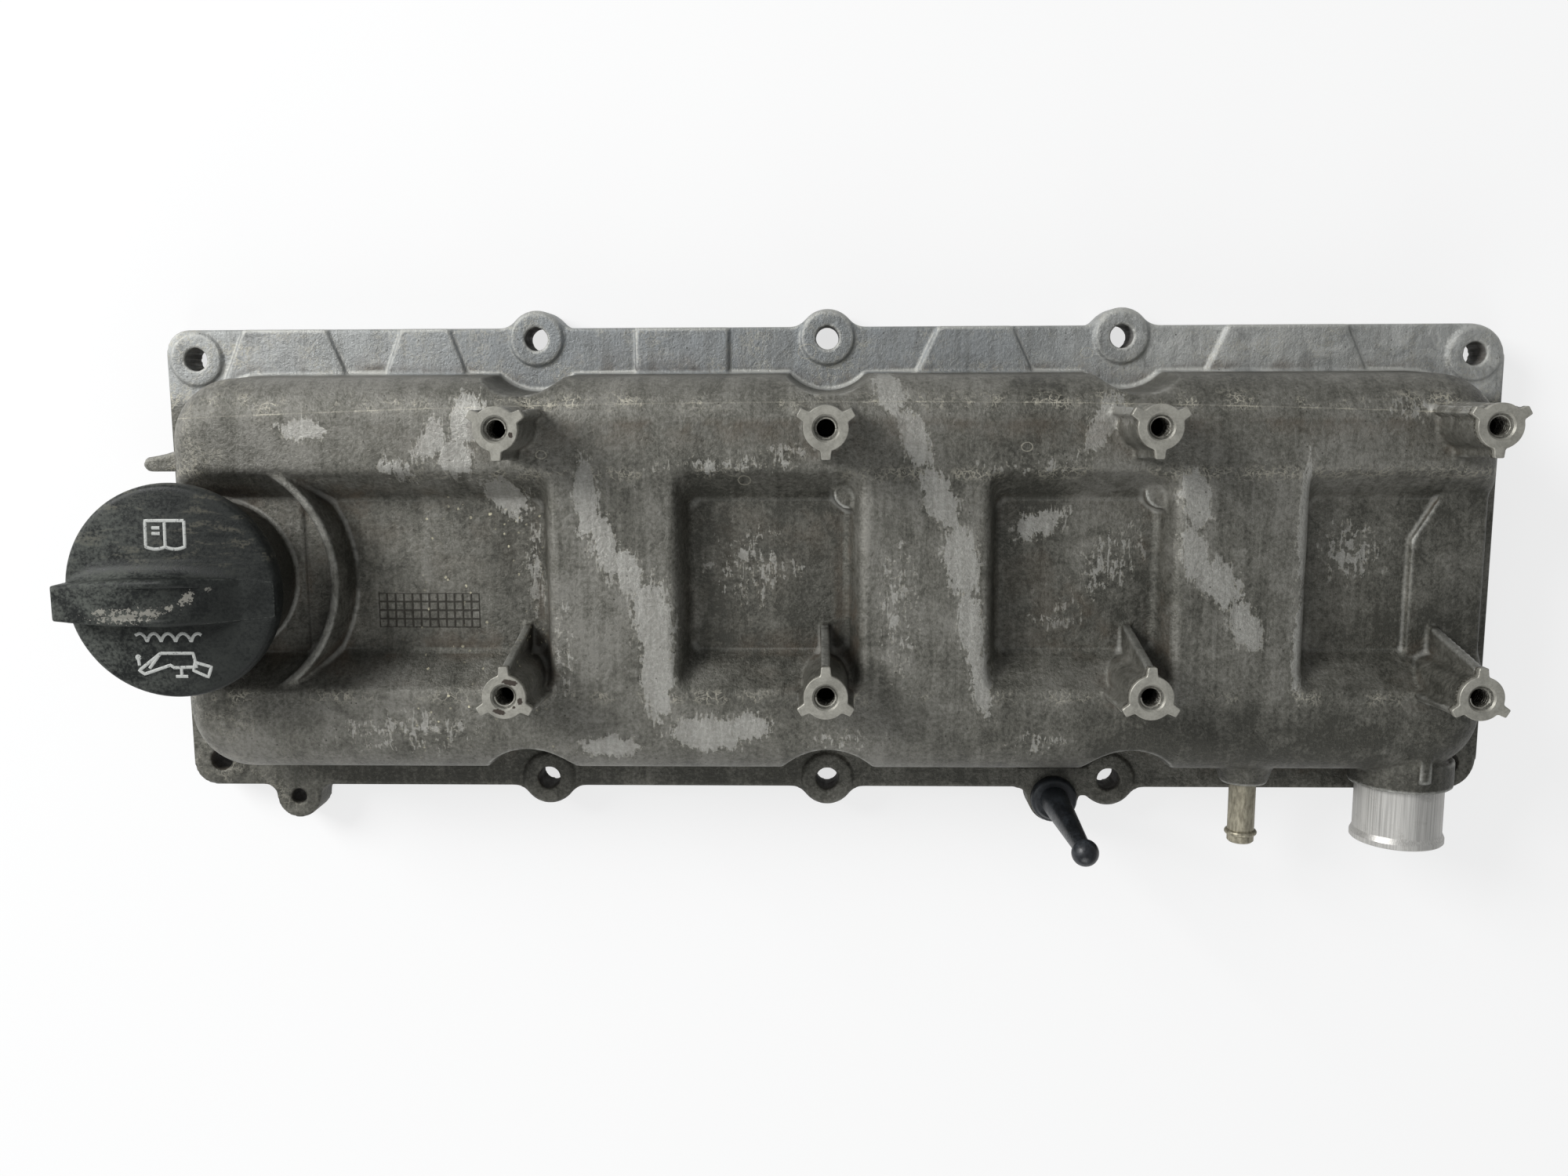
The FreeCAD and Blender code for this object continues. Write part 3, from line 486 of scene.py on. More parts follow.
    def _scrapes(self, g: Ground, colour: Tap) -> tuple[Tap, Tap]:
        """Torn bare patches with a light rim: the colour, and where the metal is bare."""
        reach = highest(g.shop.oval(g.place, patch).rise(1.9, 0.2) * patch.strength
                        for patch in self.patches)
        torn = (g.strokes - 0.5) * 1.9 + (g.chips - 0.5) * 1.5
        torn = torn + (g.blotches - 0.5) * 0.8 + (g.speckle - 0.5) * 0.3
        ragged = reach + torn * (1.1 - reach * 0.6)
        within = reach.rise(0.06, 0.3) * g.on_top
        bare = ragged.rise(0.6, 0.64) * within
        rim = ragged.window(0.56, 0.6, 0.025) * within
        grain = (g.speckle * 0.6 + g.long_strokes * 0.4).rise(0.36, 0.64)
        metal = g.shop.blend(grain, self.scraped, self.bare)
        colour = g.shop.blend(bare * (0.6 + 0.3 * reach), colour, metal)
        return g.shop.blend(rim * g.speckle.rise(0.44, 0.56) * 0.6, colour, self.vein), bare

    def _crazing(self, g: Ground, cell: float, width: float) -> Tap:
        """Fine cracked lines, 1 on a line."""
        knobs = {"Vector": g.place, "Scale": 0.35, "Detail": 4.0}
        wander = g.shop.node("ShaderNodeTexNoise", None, knobs, "Color")
        moved = g.shop.node("ShaderNodeVectorMath", {"operation": "MULTIPLY_ADD"},
                            {0: wander, 1: (2 * cell, 2 * cell, 2 * cell), 2: g.place})
        edge = g.shop.cells(moved, cell, "DISTANCE_TO_EDGE")
        return edge.rise(width / cell, 0.3 * width / cell)

    def _ring_marks(self, g: Ground) -> Tap:
        """Thin broken circles left by the ejector pins."""
        flat = g.shop.vector("MULTIPLY", g.place, (1.0, self.ring_squash, 0.0))
        marks = []
        for x, y, radius in self.rings:
            away = g.shop.vector("DISTANCE", flat, (x, self.ring_squash * y, 0.0), "Value")
            marks.append(abs(away - radius + (g.speckle - 0.5) * 0.8).rise(0.24, 0.1))
        return highest(marks)

    def _veins(self, g: Ground, colour: Tap, bare: Tap) -> Tap:
        """Crazed lines, the parting seam and the marks of the ejector pins."""
        parting = g.y.window(self.parting_y - 1.8, self.parting_y + 1.8, 2.0)
        ledge = g.y.window(27.0, 30.0, 1.5) + g.y.window(-36.0, -33.0, 1.5)
        band = parting + ledge * 0.6 + g.upper_flange * 0.35 + g.x.rise(-150.0, -175.0) * 0.3
        lines = self._crazing(g, 2.3, 0.2).at_least(self._crazing(g, 5.5, 0.22))
        lines = lines * (0.06 + 0.94 * band.at_most(1.0)) * g.patchy
        lines = lines * g.speckle.rise(0.34, 0.46) * (1.0 - bare)
        colour = g.shop.blend(lines, colour, self.vein)
        seam_bow = g.y - self.parting_y + (g.x * 0.011) ** 2.0
        seam = abs(seam_bow + (g.speckle - 0.5) * 0.7).rise(0.22, 0.08) * g.on_top
        colour = g.shop.blend(seam * (0.15 + 0.6 * g.patchy), colour, self.vein)
        return g.shop.blend(self._ring_marks(g) * 0.5, colour, self.vein)

    def _dirt_and_shade(self, g: Ground, colour: Tap) -> tuple[Tap, Tap]:
        """Rust in sheltered corners, darkening there that is partly soiling and partly painted shade,
        and dark pits: the colour, and where the corners are darkened.
        """
        stained = g.shop.noise(g.place, 9.0, 4.0, 0.6).rise(0.4, 0.65)
        # Sheltered corners darkened: partly real soiling, partly painted shade in the recesses.
        dirt_and_shade = g.shelter * 1.25 + (g.blotches - 0.5) * 1.3 * g.shelter.rise(0.04, 0.25)
        dirt_and_shade = dirt_and_shade.rise(0.28, 1.0)
        pits = g.shop.cells(g.place, 2.6).rise(0.13, 0.065) * g.blotches.rise(0.42, 0.6)
        colour = g.shop.blend(g.shelter.rise(0.12, 0.5) * stained * 0.4, colour, self.rust)
        return g.shop.blend((dirt_and_shade * 0.8).at_least(pits * 0.75), colour, self.grime_and_shade), dirt_and_shade

    def _rubs_and_highlights(self, g: Ground, colour: Tap) -> tuple[Tap, Tap]:
        """Edges rubbed bright on body and flange, with painted highlights on them, and a painted
        highlight at the foot of the walls: the colour, and where the body's edges are rubbed and
        highlighted.
        """
        # Convex edges lightened: partly rubbed wear, partly painted highlight where the rounded rims
        # catch the light.
        rubbed = g.edge.rise(0.2, 0.7) * (0.35 + 0.65 * g.blotches.rise(0.4, 0.6)) * g.on_top
        rubbed = rubbed * (1.0 - g.from_neck.rise(50.0, 42.0) * 0.5)
        colour = g.shop.blend(rubbed * 0.7, colour, self.worn)
        # Painted highlight where the light catches the hollow fillets at the foot of the walls.
        lit_foot = g.hollow.rise(0.2, 0.6) * (g.upper_flange + g.in_pocket * 0.3)
        colour = g.shop.blend(lit_foot.at_most(0.8), colour, self.worn)
        # Painted highlight along the edges of the pads on the upper flange.
        pad_edge = g.edge.rise(0.2, 0.6) * g.upper_flange
        return g.shop.blend(pad_edge * 0.7, colour, self.worn), rubbed

    def _date_grid(self, g: Ground) -> Tap:
        """Lines of the small grid on the floor of the first pocket."""
        across = (g.x - self.grid_corner[0]) / self.grid_size[0]
        down = (self.grid_corner[1] - g.y) / self.grid_size[1]
        lines = []
        for share, size, cells in zip((across, down), self.grid_size, self.grid_cells):
            fold = {0: share * size, 1: size / cells / 2}
            step = g.shop.node("ShaderNodeMath", {"operation": "PINGPONG"}, fold)
            lines.append(step.rise(self.grid_line, self.grid_line * 0.4))
        inside = across.window(0.0, 1.0, 0.006) * down.window(0.0, 1.0, 0.02)
        return highest(lines) * inside * g.z.window(*self.grid_floor_z, 0.5)

    def _flecks(self, g: Ground) -> Tap:
        """Cream flecks round the first bar, 1 on a fleck."""
        near_first = g.x.window(-122.0, -78.0, 8.0) * g.y.window(-50.0, 22.0, 8.0)
        flecks = (g.shop.cells(g.place, 2.5) + (g.speckle - 0.5) * 0.6).rise(0.17, 0.09)
        return flecks * near_first * g.patchy * g.on_top

    def build(self) -> bpy.types.Material:
        """Make the material."""
        shop = Shop("weathered_cast_aluminium")
        g = Ground(shop)
        colour = self._flange(g, self._base(g))
        colour, bare = self._scrapes(g, colour)
        colour = self._veins(g, colour, bare)
        colour, dirt_and_shade = self._dirt_and_shade(g, colour)
        colour, rubbed = self._rubs_and_highlights(g, colour)
        grid = self._date_grid(g)
        colour = shop.blend(grid * 0.85, colour, self.grime_and_shade)
        colour = shop.blend(self._flecks(g) * 0.85, colour, self.cream)

        rough = 0.5 + (g.blotches - 0.5) * 0.4 - bare * 0.04 + dirt_and_shade * 0.25 - rubbed * 0.1
        relief = g.blotches * 0.5 + g.speckle * 0.6 + g.strokes * 0.15 + grid * 0.3
        metal = 0.5 + bare * 0.15 + rubbed * 0.3 - dirt_and_shade * 0.25
        return shop.finish(Base_Color=colour, Roughness=rough, Metallic=metal,
                           Normal=shop.bump(relief, 0.55))


@dataclass(frozen=True)
class FacedFinish:
    """Milled tops of the screw bosses, pale with brown casting pores; dark inside the threaded bores,
    with painted glints.
    """

    face: Colour = (0.38, 0.37, 0.325)
    shade: Colour = (0.25, 0.243, 0.212)
    pore: Colour = (0.035, 0.024, 0.018)
    oil: Colour = (0.05, 0.046, 0.036)
    glint: Colour = (0.4, 0.39, 0.34)
    top_z: float = 63.0
    pores: tuple[Patch, ...] = (
        Patch(-84.9, -25.6, 2.1, 0.8, -10), Patch(-82.4, -30.7, 0.7, 1.0),
        Patch(-88.1, -33.6, 1.7, 0.7, -12), Patch(-84.1, -32.4, 0.45, 0.4),
        Patch(-82.6, 40.0, 0.6, 0.8, 20),
    )

    def build(self) -> bpy.types.Material:
        """Make the material."""
        shop = Shop("milled_boss_faces")
        place = shop.place_mm()
        z = shop.parts_of(place)[2]
        clouds = shop.noise(place, 4.0, 5.0, 0.65, 0.4)
        specks = shop.noise(place, 0.6, 4.0, 0.7)
        colour = shop.blend((clouds * 0.6 + specks * 0.4).rise(0.35, 0.65), self.shade, self.face)
        colour = shop.blend(specks.rise(0.66, 0.74) * 0.7, colour, self.pore)
        ragged = (specks - 0.5) * 1.2
        hole = highest((shop.oval(place, patch) + ragged).rise(1.05, 0.9) for patch in self.pores)
        colour = shop.blend(hole * 0.92, colour, self.pore)
        # Darker inside the bores, with speckled painted glints.
        inside_hole = z.rise(self.top_z, self.top_z - 1.2)
        bore_colour = shop.blend(specks.rise(0.45, 0.6) * 0.6, self.oil, self.glint)
        colour = shop.blend(inside_hole, colour, bore_colour)
        rough = 0.5 + (clouds - 0.5) * 0.25 + hole * 0.3 - inside_hole * 0.1
        normal = shop.bump(specks * 0.5 + clouds * 0.5 - hole, 0.12, 0.8)
        return shop.finish(Base_Color=colour, Roughness=rough, Metallic=0.5, Normal=normal)


@dataclass(frozen=True)
class TurnedFinish:
    """Turned or drawn metal with fine streaks along one direction."""

    name: str
    colour: Colour
    dull: Colour
    metallic: float
    roughness: float
    streak_mm: Point = (0.35, 18.0, 0.35)
    stain: Colour = (0.09, 0.075, 0.05)
    stain_share: float = 0.35

    def build(self) -> bpy.types.Material:
        """Make the material."""
        shop = Shop(self.name)
        place = shop.place_mm()
        streaks = shop.noise(shop.stretched(place, self.streak_mm), 1.0, 3.0, 0.6)
        clouds = shop.noise(place, 6.0, 5.0, 0.6, 0.4)
        specks = shop.noise(place, 0.8, 3.0, 0.6)
        colour = shop.blend(streaks.rise(0.3, 0.7), self.dull, self.colour)
        stained = clouds.rise(0.52, 0.72) * specks.rise(0.4, 0.6)
        colour = shop.blend(stained * self.stain_share, colour, self.stain)
        rough = self.roughness + (clouds - 0.5) * 0.2 + (streaks - 0.5) * 0.15 + stained * 0.15
        normal = shop.bump(streaks * 0.7 + specks * 0.3, 0.03, 0.6)
        return shop.finish(Base_Color=colour, Roughness=rough, Metallic=self.metallic,
                           Normal=normal)


@dataclass(frozen=True)
class MouldedFinish:
    """Moulded plastic or rubber with dust, scuffs and a fine grain."""

    name: str
    colour: Colour
    dusty: Colour
    roughness: float
    dust_share: float
    grain_mm: float = 0.35

    def build(self) -> bpy.types.Material:
        """Make the material."""
        shop = Shop(self.name)
        place = shop.place_mm()
        clouds = shop.noise(place, 14.0, 6.0, 0.6, 0.5)
        specks = shop.noise(place, 1.1, 4.0, 0.65)
        grain = shop.noise(place, self.grain_mm, 2.0, 0.5)
        dust = (clouds * 0.6 + specks * 0.4).rise(0.42, 0.68)
        colour = shop.blend(dust * self.dust_share, self.colour, self.dusty)
        rough = self.roughness + dust * 0.25 + (specks - 0.5) * 0.1
        normal = shop.bump(grain * 0.7 + specks * 0.3, 0.05, 0.7)
        return shop.finish(Base_Color=colour, Roughness=rough, Metallic=0.0, Normal=normal)


@dataclass(frozen=True)
class CapFinish:
    """Dusty charcoal plastic of the filler cap, scuffed pale along the finger bar."""

    colour: Colour = (0.008, 0.0095, 0.009)
    dusty: Colour = (0.105, 0.113, 0.1)
    soil: Colour = (0.13, 0.12, 0.09)
    scuffed: Colour = (0.5, 0.48, 0.42)
    scuffs: tuple[Patch, ...] = (
        Patch(-184.0, -6.6, 7.0, 1.6, 2), Patch(-177.5, -6.2, 3.0, 1.3, 8),
        Patch(-168.5, -2.4, 1.8, 1.4, 30), Patch(-190.0, -5.6, 2.4, 0.9),
        Patch(-172.5, -4.4, 1.2, 0.7, 20), Patch(-163.5, 0.2, 0.9, 0.6),
    )

    def build(self) -> bpy.types.Material:
        """Make the material."""
        shop = Shop("dusty_cap_plastic")
        place = shop.place_mm()
        x, y, z = shop.parts_of(place)
        clouds = shop.noise(place, 11.0, 6.0, 0.62, 0.5)
        smears = shop.noise(shop.stretched(place, (9.0, 2.5, 4.0)), 1.0, 5.0, 0.65, 0.6)
        specks = shop.noise(place, 0.9, 4.0, 0.65)
        grain = shop.noise(place, 0.35, 2.0, 0.5)
        edge = shop.attribute("edge_wear")
        dust = (clouds * 0.35 + smears * 0.25 + specks * 0.4).rise(0.41, 0.62)
        # Dust heavier towards the left, partly real dust and partly painted light from the left.
        dust_and_light_left = x.rise(-160.0, -196.0)
        colour = shop.blend(dust * (0.12 + 0.6 * dust_and_light_left), self.colour, self.dusty)
        upper_soil = y.rise(2.0, 9.0) * smears.rise(0.5, 0.66) * specks.rise(0.4, 0.56)
        colour = shop.blend(upper_soil * 0.4, colour, self.soil)
        bar_dust = z.rise(68.0, 71.0) * x.rise(-172.0, -192.0)
        mottled = (clouds * 0.6 + specks * 0.4).rise(0.4, 0.62)
        colour = shop.blend(bar_dust * mottled * 0.5, colour, self.dusty)
        edge_dust = edge.rise(0.35, 0.8) * specks.rise(0.4, 0.6)
        colour = shop.blend(edge_dust * 0.3, colour, self.dusty)
        ragged = (specks - 0.5) * 5.0 + (smears - 0.5) * 2.4
        rubbed = highest((shop.oval(place, scuff) + ragged).rise(0.95, 0.7)
                         for scuff in self.scuffs)
        rubbed = rubbed * z.rise(65.0, 68.0)
        colour = shop.blend(rubbed * 0.42, colour, self.scuffed)
        rough = 0.42 + dust * 0.25 + bar_dust * 0.15 + rubbed * 0.2 + (specks - 0.5) * 0.1
        normal = shop.bump(grain * 0.4 + specks * 0.6 + smears * 0.4 + rubbed * 0.4, 0.12, 0.9)
        return shop.finish(Base_Color=colour, Roughness=rough, Metallic=0.0,
                           Specular_IOR_Level=0.22, Normal=normal)


@dataclass(frozen=True)
class PrintFinish:
    """Worn light grey pad print of the symbols on the cap."""

    ink: Colour = (0.4, 0.41, 0.39)
    worn: Colour = (0.1, 0.1, 0.1)

    def build(self) -> bpy.types.Material:
        """Make the material."""
        shop = Shop("worn_cap_print")
        place = shop.place_mm()
        flecks = shop.noise(place, 0.8, 5.0, 0.7)
        colour = shop.blend(flecks.rise(0.56, 0.66), self.ink, self.worn)
        normal = shop.bump(flecks, 0.03, 0.5)
        return shop.finish(Base_Color=colour, Roughness=0.62 + (flecks - 0.5) * 0.3, Normal=normal)


class Finishes:
    """Every finish of the cover, built once."""

    def __init__(self) -> None:
        """Build the materials, one for each slot of the record."""
        makers: dict[str, CastFinish | MouldedFinish | TurnedFinish | CapFinish] = {
            "cast_aluminium": CastFinish(),
            "gasket_rubber": MouldedFinish("gasket_rubber_skin", (0.03, 0.03, 0.03),
                                           (0.09, 0.085, 0.08), 0.6, 0.5),
            "seal_rubber": MouldedFinish("seal_rubber_skin", (0.02, 0.02, 0.02),
                                         (0.06, 0.055, 0.05), 0.55, 0.4),
            "pressed_steel": TurnedFinish("oily_pressed_steel", (0.45, 0.44, 0.41),
                                          (0.3, 0.29, 0.26), 0.8, 0.42, (14.0, 0.5, 14.0)),
            "zinc_steel": TurnedFinish("zinc_plated_screw_steel", (0.55, 0.55, 0.53),
                                       (0.4, 0.39, 0.36), 0.85, 0.4, (0.6, 0.6, 0.6)),
            "bright_aluminium": TurnedFinish("bright_drawn_aluminium", (0.6, 0.59, 0.56),
                                             (0.4, 0.39, 0.37), 0.6, 0.44, (0.3, 26.0, 0.3),
                                             (0.2, 0.19, 0.17), 0.3),
            "yellow_zinc": TurnedFinish("dull_yellow_zinc", (0.42, 0.39, 0.3), (0.22, 0.2, 0.15),
                                        0.7, 0.45, (0.8, 3.0, 0.8), (0.08, 0.07, 0.04), 0.6),
            "black_steel": MouldedFinish("black_coated_steel", (0.006, 0.007, 0.009),
                                         (0.07, 0.085, 0.1), 0.3, 0.3),
            "cap_plastic": CapFinish(),
        }
        self.by_slot = {slot: maker.build() for slot, maker in makers.items()}
        self.cap_print = PrintFinish().build()
        self.faced = FacedFinish().build()

    def dress(self, obj: bpy.types.Object, slot: str) -> None:
        """Give an object the one material of a slot."""
        obj.data.materials.clear()
        obj.data.materials.append(self.by_slot[slot])

    def dress_nodes(self) -> None:
        """Give every node of the frame its finish in place of the plain one."""
        slots = {entry["node"]: entry["material_slot"] for entry in frame["record"]["subparts"]}
        for name, obj in frame["nodes"].items():
            finish = self.by_slot[slots[name]]
            for index in range(max(1, len(obj.material_slots))):
                if index >= len(obj.data.materials):
                    obj.data.materials.append(finish)
                obj.material_slots[index].material = finish


def new_object(name: str, data: bpy.types.ID) -> bpy.types.Object:
    """Link a mesh, lamp or camera into the scene as an object at the origin."""
    obj = bpy.data.objects.new(name, data)
    bpy.context.scene.collection.objects.link(obj)
    return obj


def flatten(obj: bpy.types.Object, name: str) -> bpy.types.Object:
    """Turn an object with modifiers into a plain mesh object.

    Args:
        obj: Object to evaluate; it is removed.
        name: Name of the plain object.

    Returns:
        The plain object, at the origin.
    """
    bpy.context.view_layer.update()
    graph = bpy.context.evaluated_depsgraph_get()
    mesh = bpy.data.meshes.new_from_object(obj.evaluated_get(graph))
    bpy.data.objects.remove(obj)
    mesh.name = name
    return new_object(name, mesh)


def settle(obj: bpy.types.Object, body: Body, slot: str, *nodes: str) -> bpy.types.Object:
    """Put a finished piece on its body and report it.

    Args:
        obj: The piece.
        body: Body that it rides on.
        slot: Material slot of the record that it takes its finish from; not used here.
        nodes: Nodes of the frame that it stands for.

    Returns:
        The piece.
    """
    if nodes:
        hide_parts(*nodes)
    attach(obj, body.value)
    triangles = sum(len(p.vertices) - 2 for p in obj.data.polygons)
    LOG.info("%s: %d triangles on body %s", obj.name, triangles, body.value)
    return obj


def merged_copy(node: str) -> bmesh.types.BMesh:
    """Mesh of a frame node with its loose triangles merged."""
    mesh = bmesh.new()
    mesh.from_mesh(frame["nodes"][node].data)
    bmesh.ops.remove_doubles(mesh, verts=mesh.verts, dist=MERGE_MM * MM)
    return mesh


def add_solids(mesh: bmesh.types.BMesh, *solids: bmesh.types.BMesh) -> None:
    """Add closed solids to a mesh; the solids are freed."""
    for solid in solids:
        part = bpy.data.meshes.new("solid")
        solid.to_mesh(part)
        solid.free()
        mesh.from_mesh(part)
        bpy.data.meshes.remove(part)


def circle_points(x: float, y: float, radius: float, count: int = 40) -> list[Spot]:
    """Points of a circle, counterclockwise."""
    angles = [2 * math.pi * k / count for k in range(count)]
    return [(x + radius * math.cos(angle), y + radius * math.sin(angle)) for angle in angles]


def lathe(profile: Path, centre: Spot, steps: int = 96) -> bmesh.types.BMesh:
    """Closed solid of revolution round an upright axis, in metres.

    Args:
        profile: Radius and height in millimetres, closed, counterclockwise in the half plane with
            the radius to the right and the axis upwards; points on the axis have radius 0.
        centre: Place of the axis in X and Y, in millimetres.
        steps: Number of facets round the axis.

    Returns:
        The solid.
    """
    mesh = bmesh.new()
    rings = []
    for radius, height in profile:
        spots = circle_points(*centre, radius, steps) if radius > 0.0 else [centre]
        rings.append([mesh.verts.new((x * MM, y * MM, height * MM)) for x, y in spots])
    for ring, following in zip(rings, rings[1:] + rings[:1]):
        for k in range(steps):
            after = (k + 1) % steps
            corners = [ring[k % len(ring)], ring[after % len(ring)],
                       following[after % len(following)], following[k % len(following)]]
            unique = list(dict.fromkeys(corners))
            if len(unique) > 2:
                mesh.faces.new(unique)
    bmesh.ops.recalc_face_normals(mesh, faces=mesh.faces)
    return mesh


def object_from(mesh: bmesh.types.BMesh, name: str,
                smooth_deg: float | None = None) -> bpy.types.Object:
    """Turn a bmesh into an object.

    Args:
        mesh: The bmesh; it is freed.
        name: Name of the object.
        smooth_deg: Angle below which edges are shaded smooth, or None for flat faces.

    Returns:
        The object.
    """
    data = bpy.data.meshes.new(name)
    mesh.to_mesh(data)
    mesh.free()
    obj = new_object(name, data)
    if smooth_deg is not None:
        data.shade_smooth()
        data.set_sharp_from_angle(angle=math.radians(smooth_deg))
    return obj


def values_of(items: bpy.types.bpy_prop_collection, key: str, width: int,
              kind: type = float) -> np.ndarray:
    """One property of many items, with a row for each item."""
    flat = np.empty(len(items) * width, dtype=kind)
    items.foreach_get(key, flat)
    return flat.reshape(-1, width)


def recast(obj: bpy.types.Object, name: str, voxel_mm: float, passes: int, share: float,
           smooth_weight: Callable[[np.ndarray], np.ndarray]) -> bpy.types.Object:
    """Fuse overlapping solids into one skin and soften its edges, as a casting has them.

    Args:
        obj: Object whose mesh holds closed solids; it is removed.
        name: Name of the new object.
        passes: Smoothing passes.
        share: Share of the triangles that is kept.
        smooth_weight: Function of the points in millimetres that says how much each is smoothed.

    Returns:
        The new object.
    """
    skin = obj.modifiers.new("skin", "REMESH")
    skin.mode = "VOXEL"
    skin.voxel_size = voxel_mm * 1.0 * MM
    skinned = flatten(obj, name)
    weights = smooth_weight(values_of(skinned.data.vertices, "co", 3) / MM)
    group = skinned.vertex_groups.new(name="soft")
    levels = np.round(weights * SOFTNESS_LEVELS) / SOFTNESS_LEVELS
    for level in np.unique(levels):
        group.add(np.nonzero(levels == level)[0].tolist(), float(level), "REPLACE")
    soften = skinned.modifiers.new("soften", "SMOOTH")
    soften.factor = 0.5
    soften.iterations = passes
    soften.vertex_group = group.name
    thin = skinned.modifiers.new("thin", "DECIMATE")
    thin.ratio = share
    done = flatten(skinned, name)
    done.data.shade_smooth()
    return done


class Graph:
    """Geometry node tree of one modifier, with one method that adds any node."""

    def __init__(self, name: str) -> None:
        """Start a tree with one geometry going in and one coming out.

        Args:
            name: Name of the tree.
        """
        self.name = name
        self.tree = bpy.data.node_groups.new(name, "GeometryNodeTree")
        self.tree.is_modifier = True
        for way in ("INPUT", "OUTPUT"):
            self.tree.interface.new_socket("Geometry", in_out=way, socket_type="NodeSocketGeometry")
        self.entry = self.tree.nodes.new("NodeGroupInput")
        self.values: dict[str, object] = {}

    def knob(self, name: str, kind: str, value: object) -> bpy.types.NodeSocket:
        """Add a named input and keep the value that the modifier gets for it.

        Args:
            name: Name of the input.
            kind: Socket type.
            value: Value for the modifier.

        Returns:
            The socket inside the tree.
        """
        item = self.tree.interface.new_socket(name, in_out="INPUT", socket_type=kind)
        self.values[item.identifier] = value
        return self.entry.outputs[name]

    def node(self, kind: str, settings: dict | None = None, inputs: dict | None = None,
             out: int | str = 0) -> bpy.types.NodeSocket:
        """Add a node, set it up and feed its sockets.

        Args:
            kind: Type of the node.
            settings: Properties of the node.
            inputs: Value, socket or list of sockets for each input, by index or name.
            out: Output that is returned.

        Returns:
            The chosen output.
        """
        made = self.tree.nodes.new(kind)
        for key, value in (settings or {}).items():
            setattr(made, key, value)
        for key, value in (inputs or {}).items():
            for feed in value if isinstance(value, list) else [value]:
                if isinstance(feed, bpy.types.NodeSocket):
                    self.tree.links.new(feed, made.inputs[key])
                else:
                    made.inputs[key].default_value = feed
        return made.outputs[out]

    def grow(self, geometry: bpy.types.NodeSocket, finish: bpy.types.Material,
             start: bpy.types.Object) -> bpy.types.Object:
        """Close the tree, run it on an object and turn the result into a plain mesh.

        Args:
            geometry: Geometry that comes out.
            finish: Material of the result.
            start: Object that goes in; it is removed.

        Returns:
            The new object.
        """
        knob = self.knob("Finish", "NodeSocketMaterial", finish)
        realized = self.node("GeometryNodeRealizeInstances", None, {"Geometry": geometry})
        feeds = {"Geometry": realized, "Material": knob}
        dressed = self.node("GeometryNodeSetMaterial", None, feeds)
        leave = self.tree.nodes.new("NodeGroupOutput")
        self.tree.links.new(dressed, leave.inputs[0])
        modifier = start.modifiers.new(self.name, "NODES")
        modifier.node_group = self.tree
        for identifier, value in self.values.items():
            modifier[identifier] = value
        return flatten(start, self.name)


def store(mesh: bpy.types.Mesh, name: str, values: np.ndarray) -> None:
    """Keep one value between 0 and 1 for each point of a mesh."""
    layer = mesh.attributes.new(name, "FLOAT", "POINT")
    layer.data.foreach_set("value", np.clip(values, 0.0, 1.0).astype(np.float32))


def mark_edges(obj: bpy.types.Object, full_bend_mm: float, rounds: int = 2) -> None:
    """Store how convex and how hollow the skin is at each point, between 0 and 1.

    Args:
        obj: Object that gets the attributes edge_wear and hollow.
        full_bend_mm: Radius of curvature that counts as 1.
        rounds: Times that the values are spread to the neighbours.
    """
    mesh = obj.data
    count = len(mesh.vertices)
    points = values_of(mesh.vertices, "co", 3)
    normals = values_of(mesh.vertex_normals, "vector", 3)
    first, second = values_of(mesh.edges, "vertices", 2, np.int64).T
    step = points[second] - points[first]
    length = np.maximum((step ** 2).sum(1), 1e-12)
    bend = ((normals[second] - normals[first]) * step).sum(1) / length

    def gathered(at_first: np.ndarray, at_second: np.ndarray) -> np.ndarray:
        return np.bincount(first, at_first, count) + np.bincount(second, at_second, count)

    members = np.maximum(gathered(np.ones(len(first)), np.ones(len(first))), 1)
    level = gathered(bend, bend) / members
    for _ in range(rounds):
        level = (level + gathered(level[second], level[first]) / members) / 2
    scaled = level * full_bend_mm * MM
    store(mesh, "edge_wear", scaled)
    store(mesh, "hollow", -scaled)


def mark_shelter(obj: bpy.types.Object, reach_mm: float, rays: int = 14) -> None:
    """Store how much of the sky near each point is walled in, between 0 and 1.

    Args:
        obj: Object that gets the attribute shelter.
        reach_mm: Distance within which a wall counts.
        rays: Number of directions that are tried at each point.
    """
    mesh = obj.data
    faces = [polygon.vertices for polygon in mesh.polygons]
    tree = BVHTree.FromPolygons([vertex.co for vertex in mesh.vertices], faces)
    turn = math.pi * (3.0 - math.sqrt(5.0))
    fan = []
    for k in range(rays):
        reach = math.sqrt((k + 0.5) / rays)
        rise = math.sqrt(1.0 - reach ** 2)
        fan.append(Vector((reach * math.cos(turn * k), reach * math.sin(turn * k), rise)))
    up = Vector((0.0, 0.0, 1.0))
    values = np.empty(len(mesh.vertices))
    for index, vertex in enumerate(mesh.vertices):
        aim = up.rotation_difference(vertex.normal)
        start = vertex.co + vertex.normal * (0.3 * MM)
        met = sum(tree.ray_cast(start, aim @ ray, reach_mm * MM)[0] is not None for ray in fan)
        values[index] = met / rays
    store(mesh, "shelter", values)


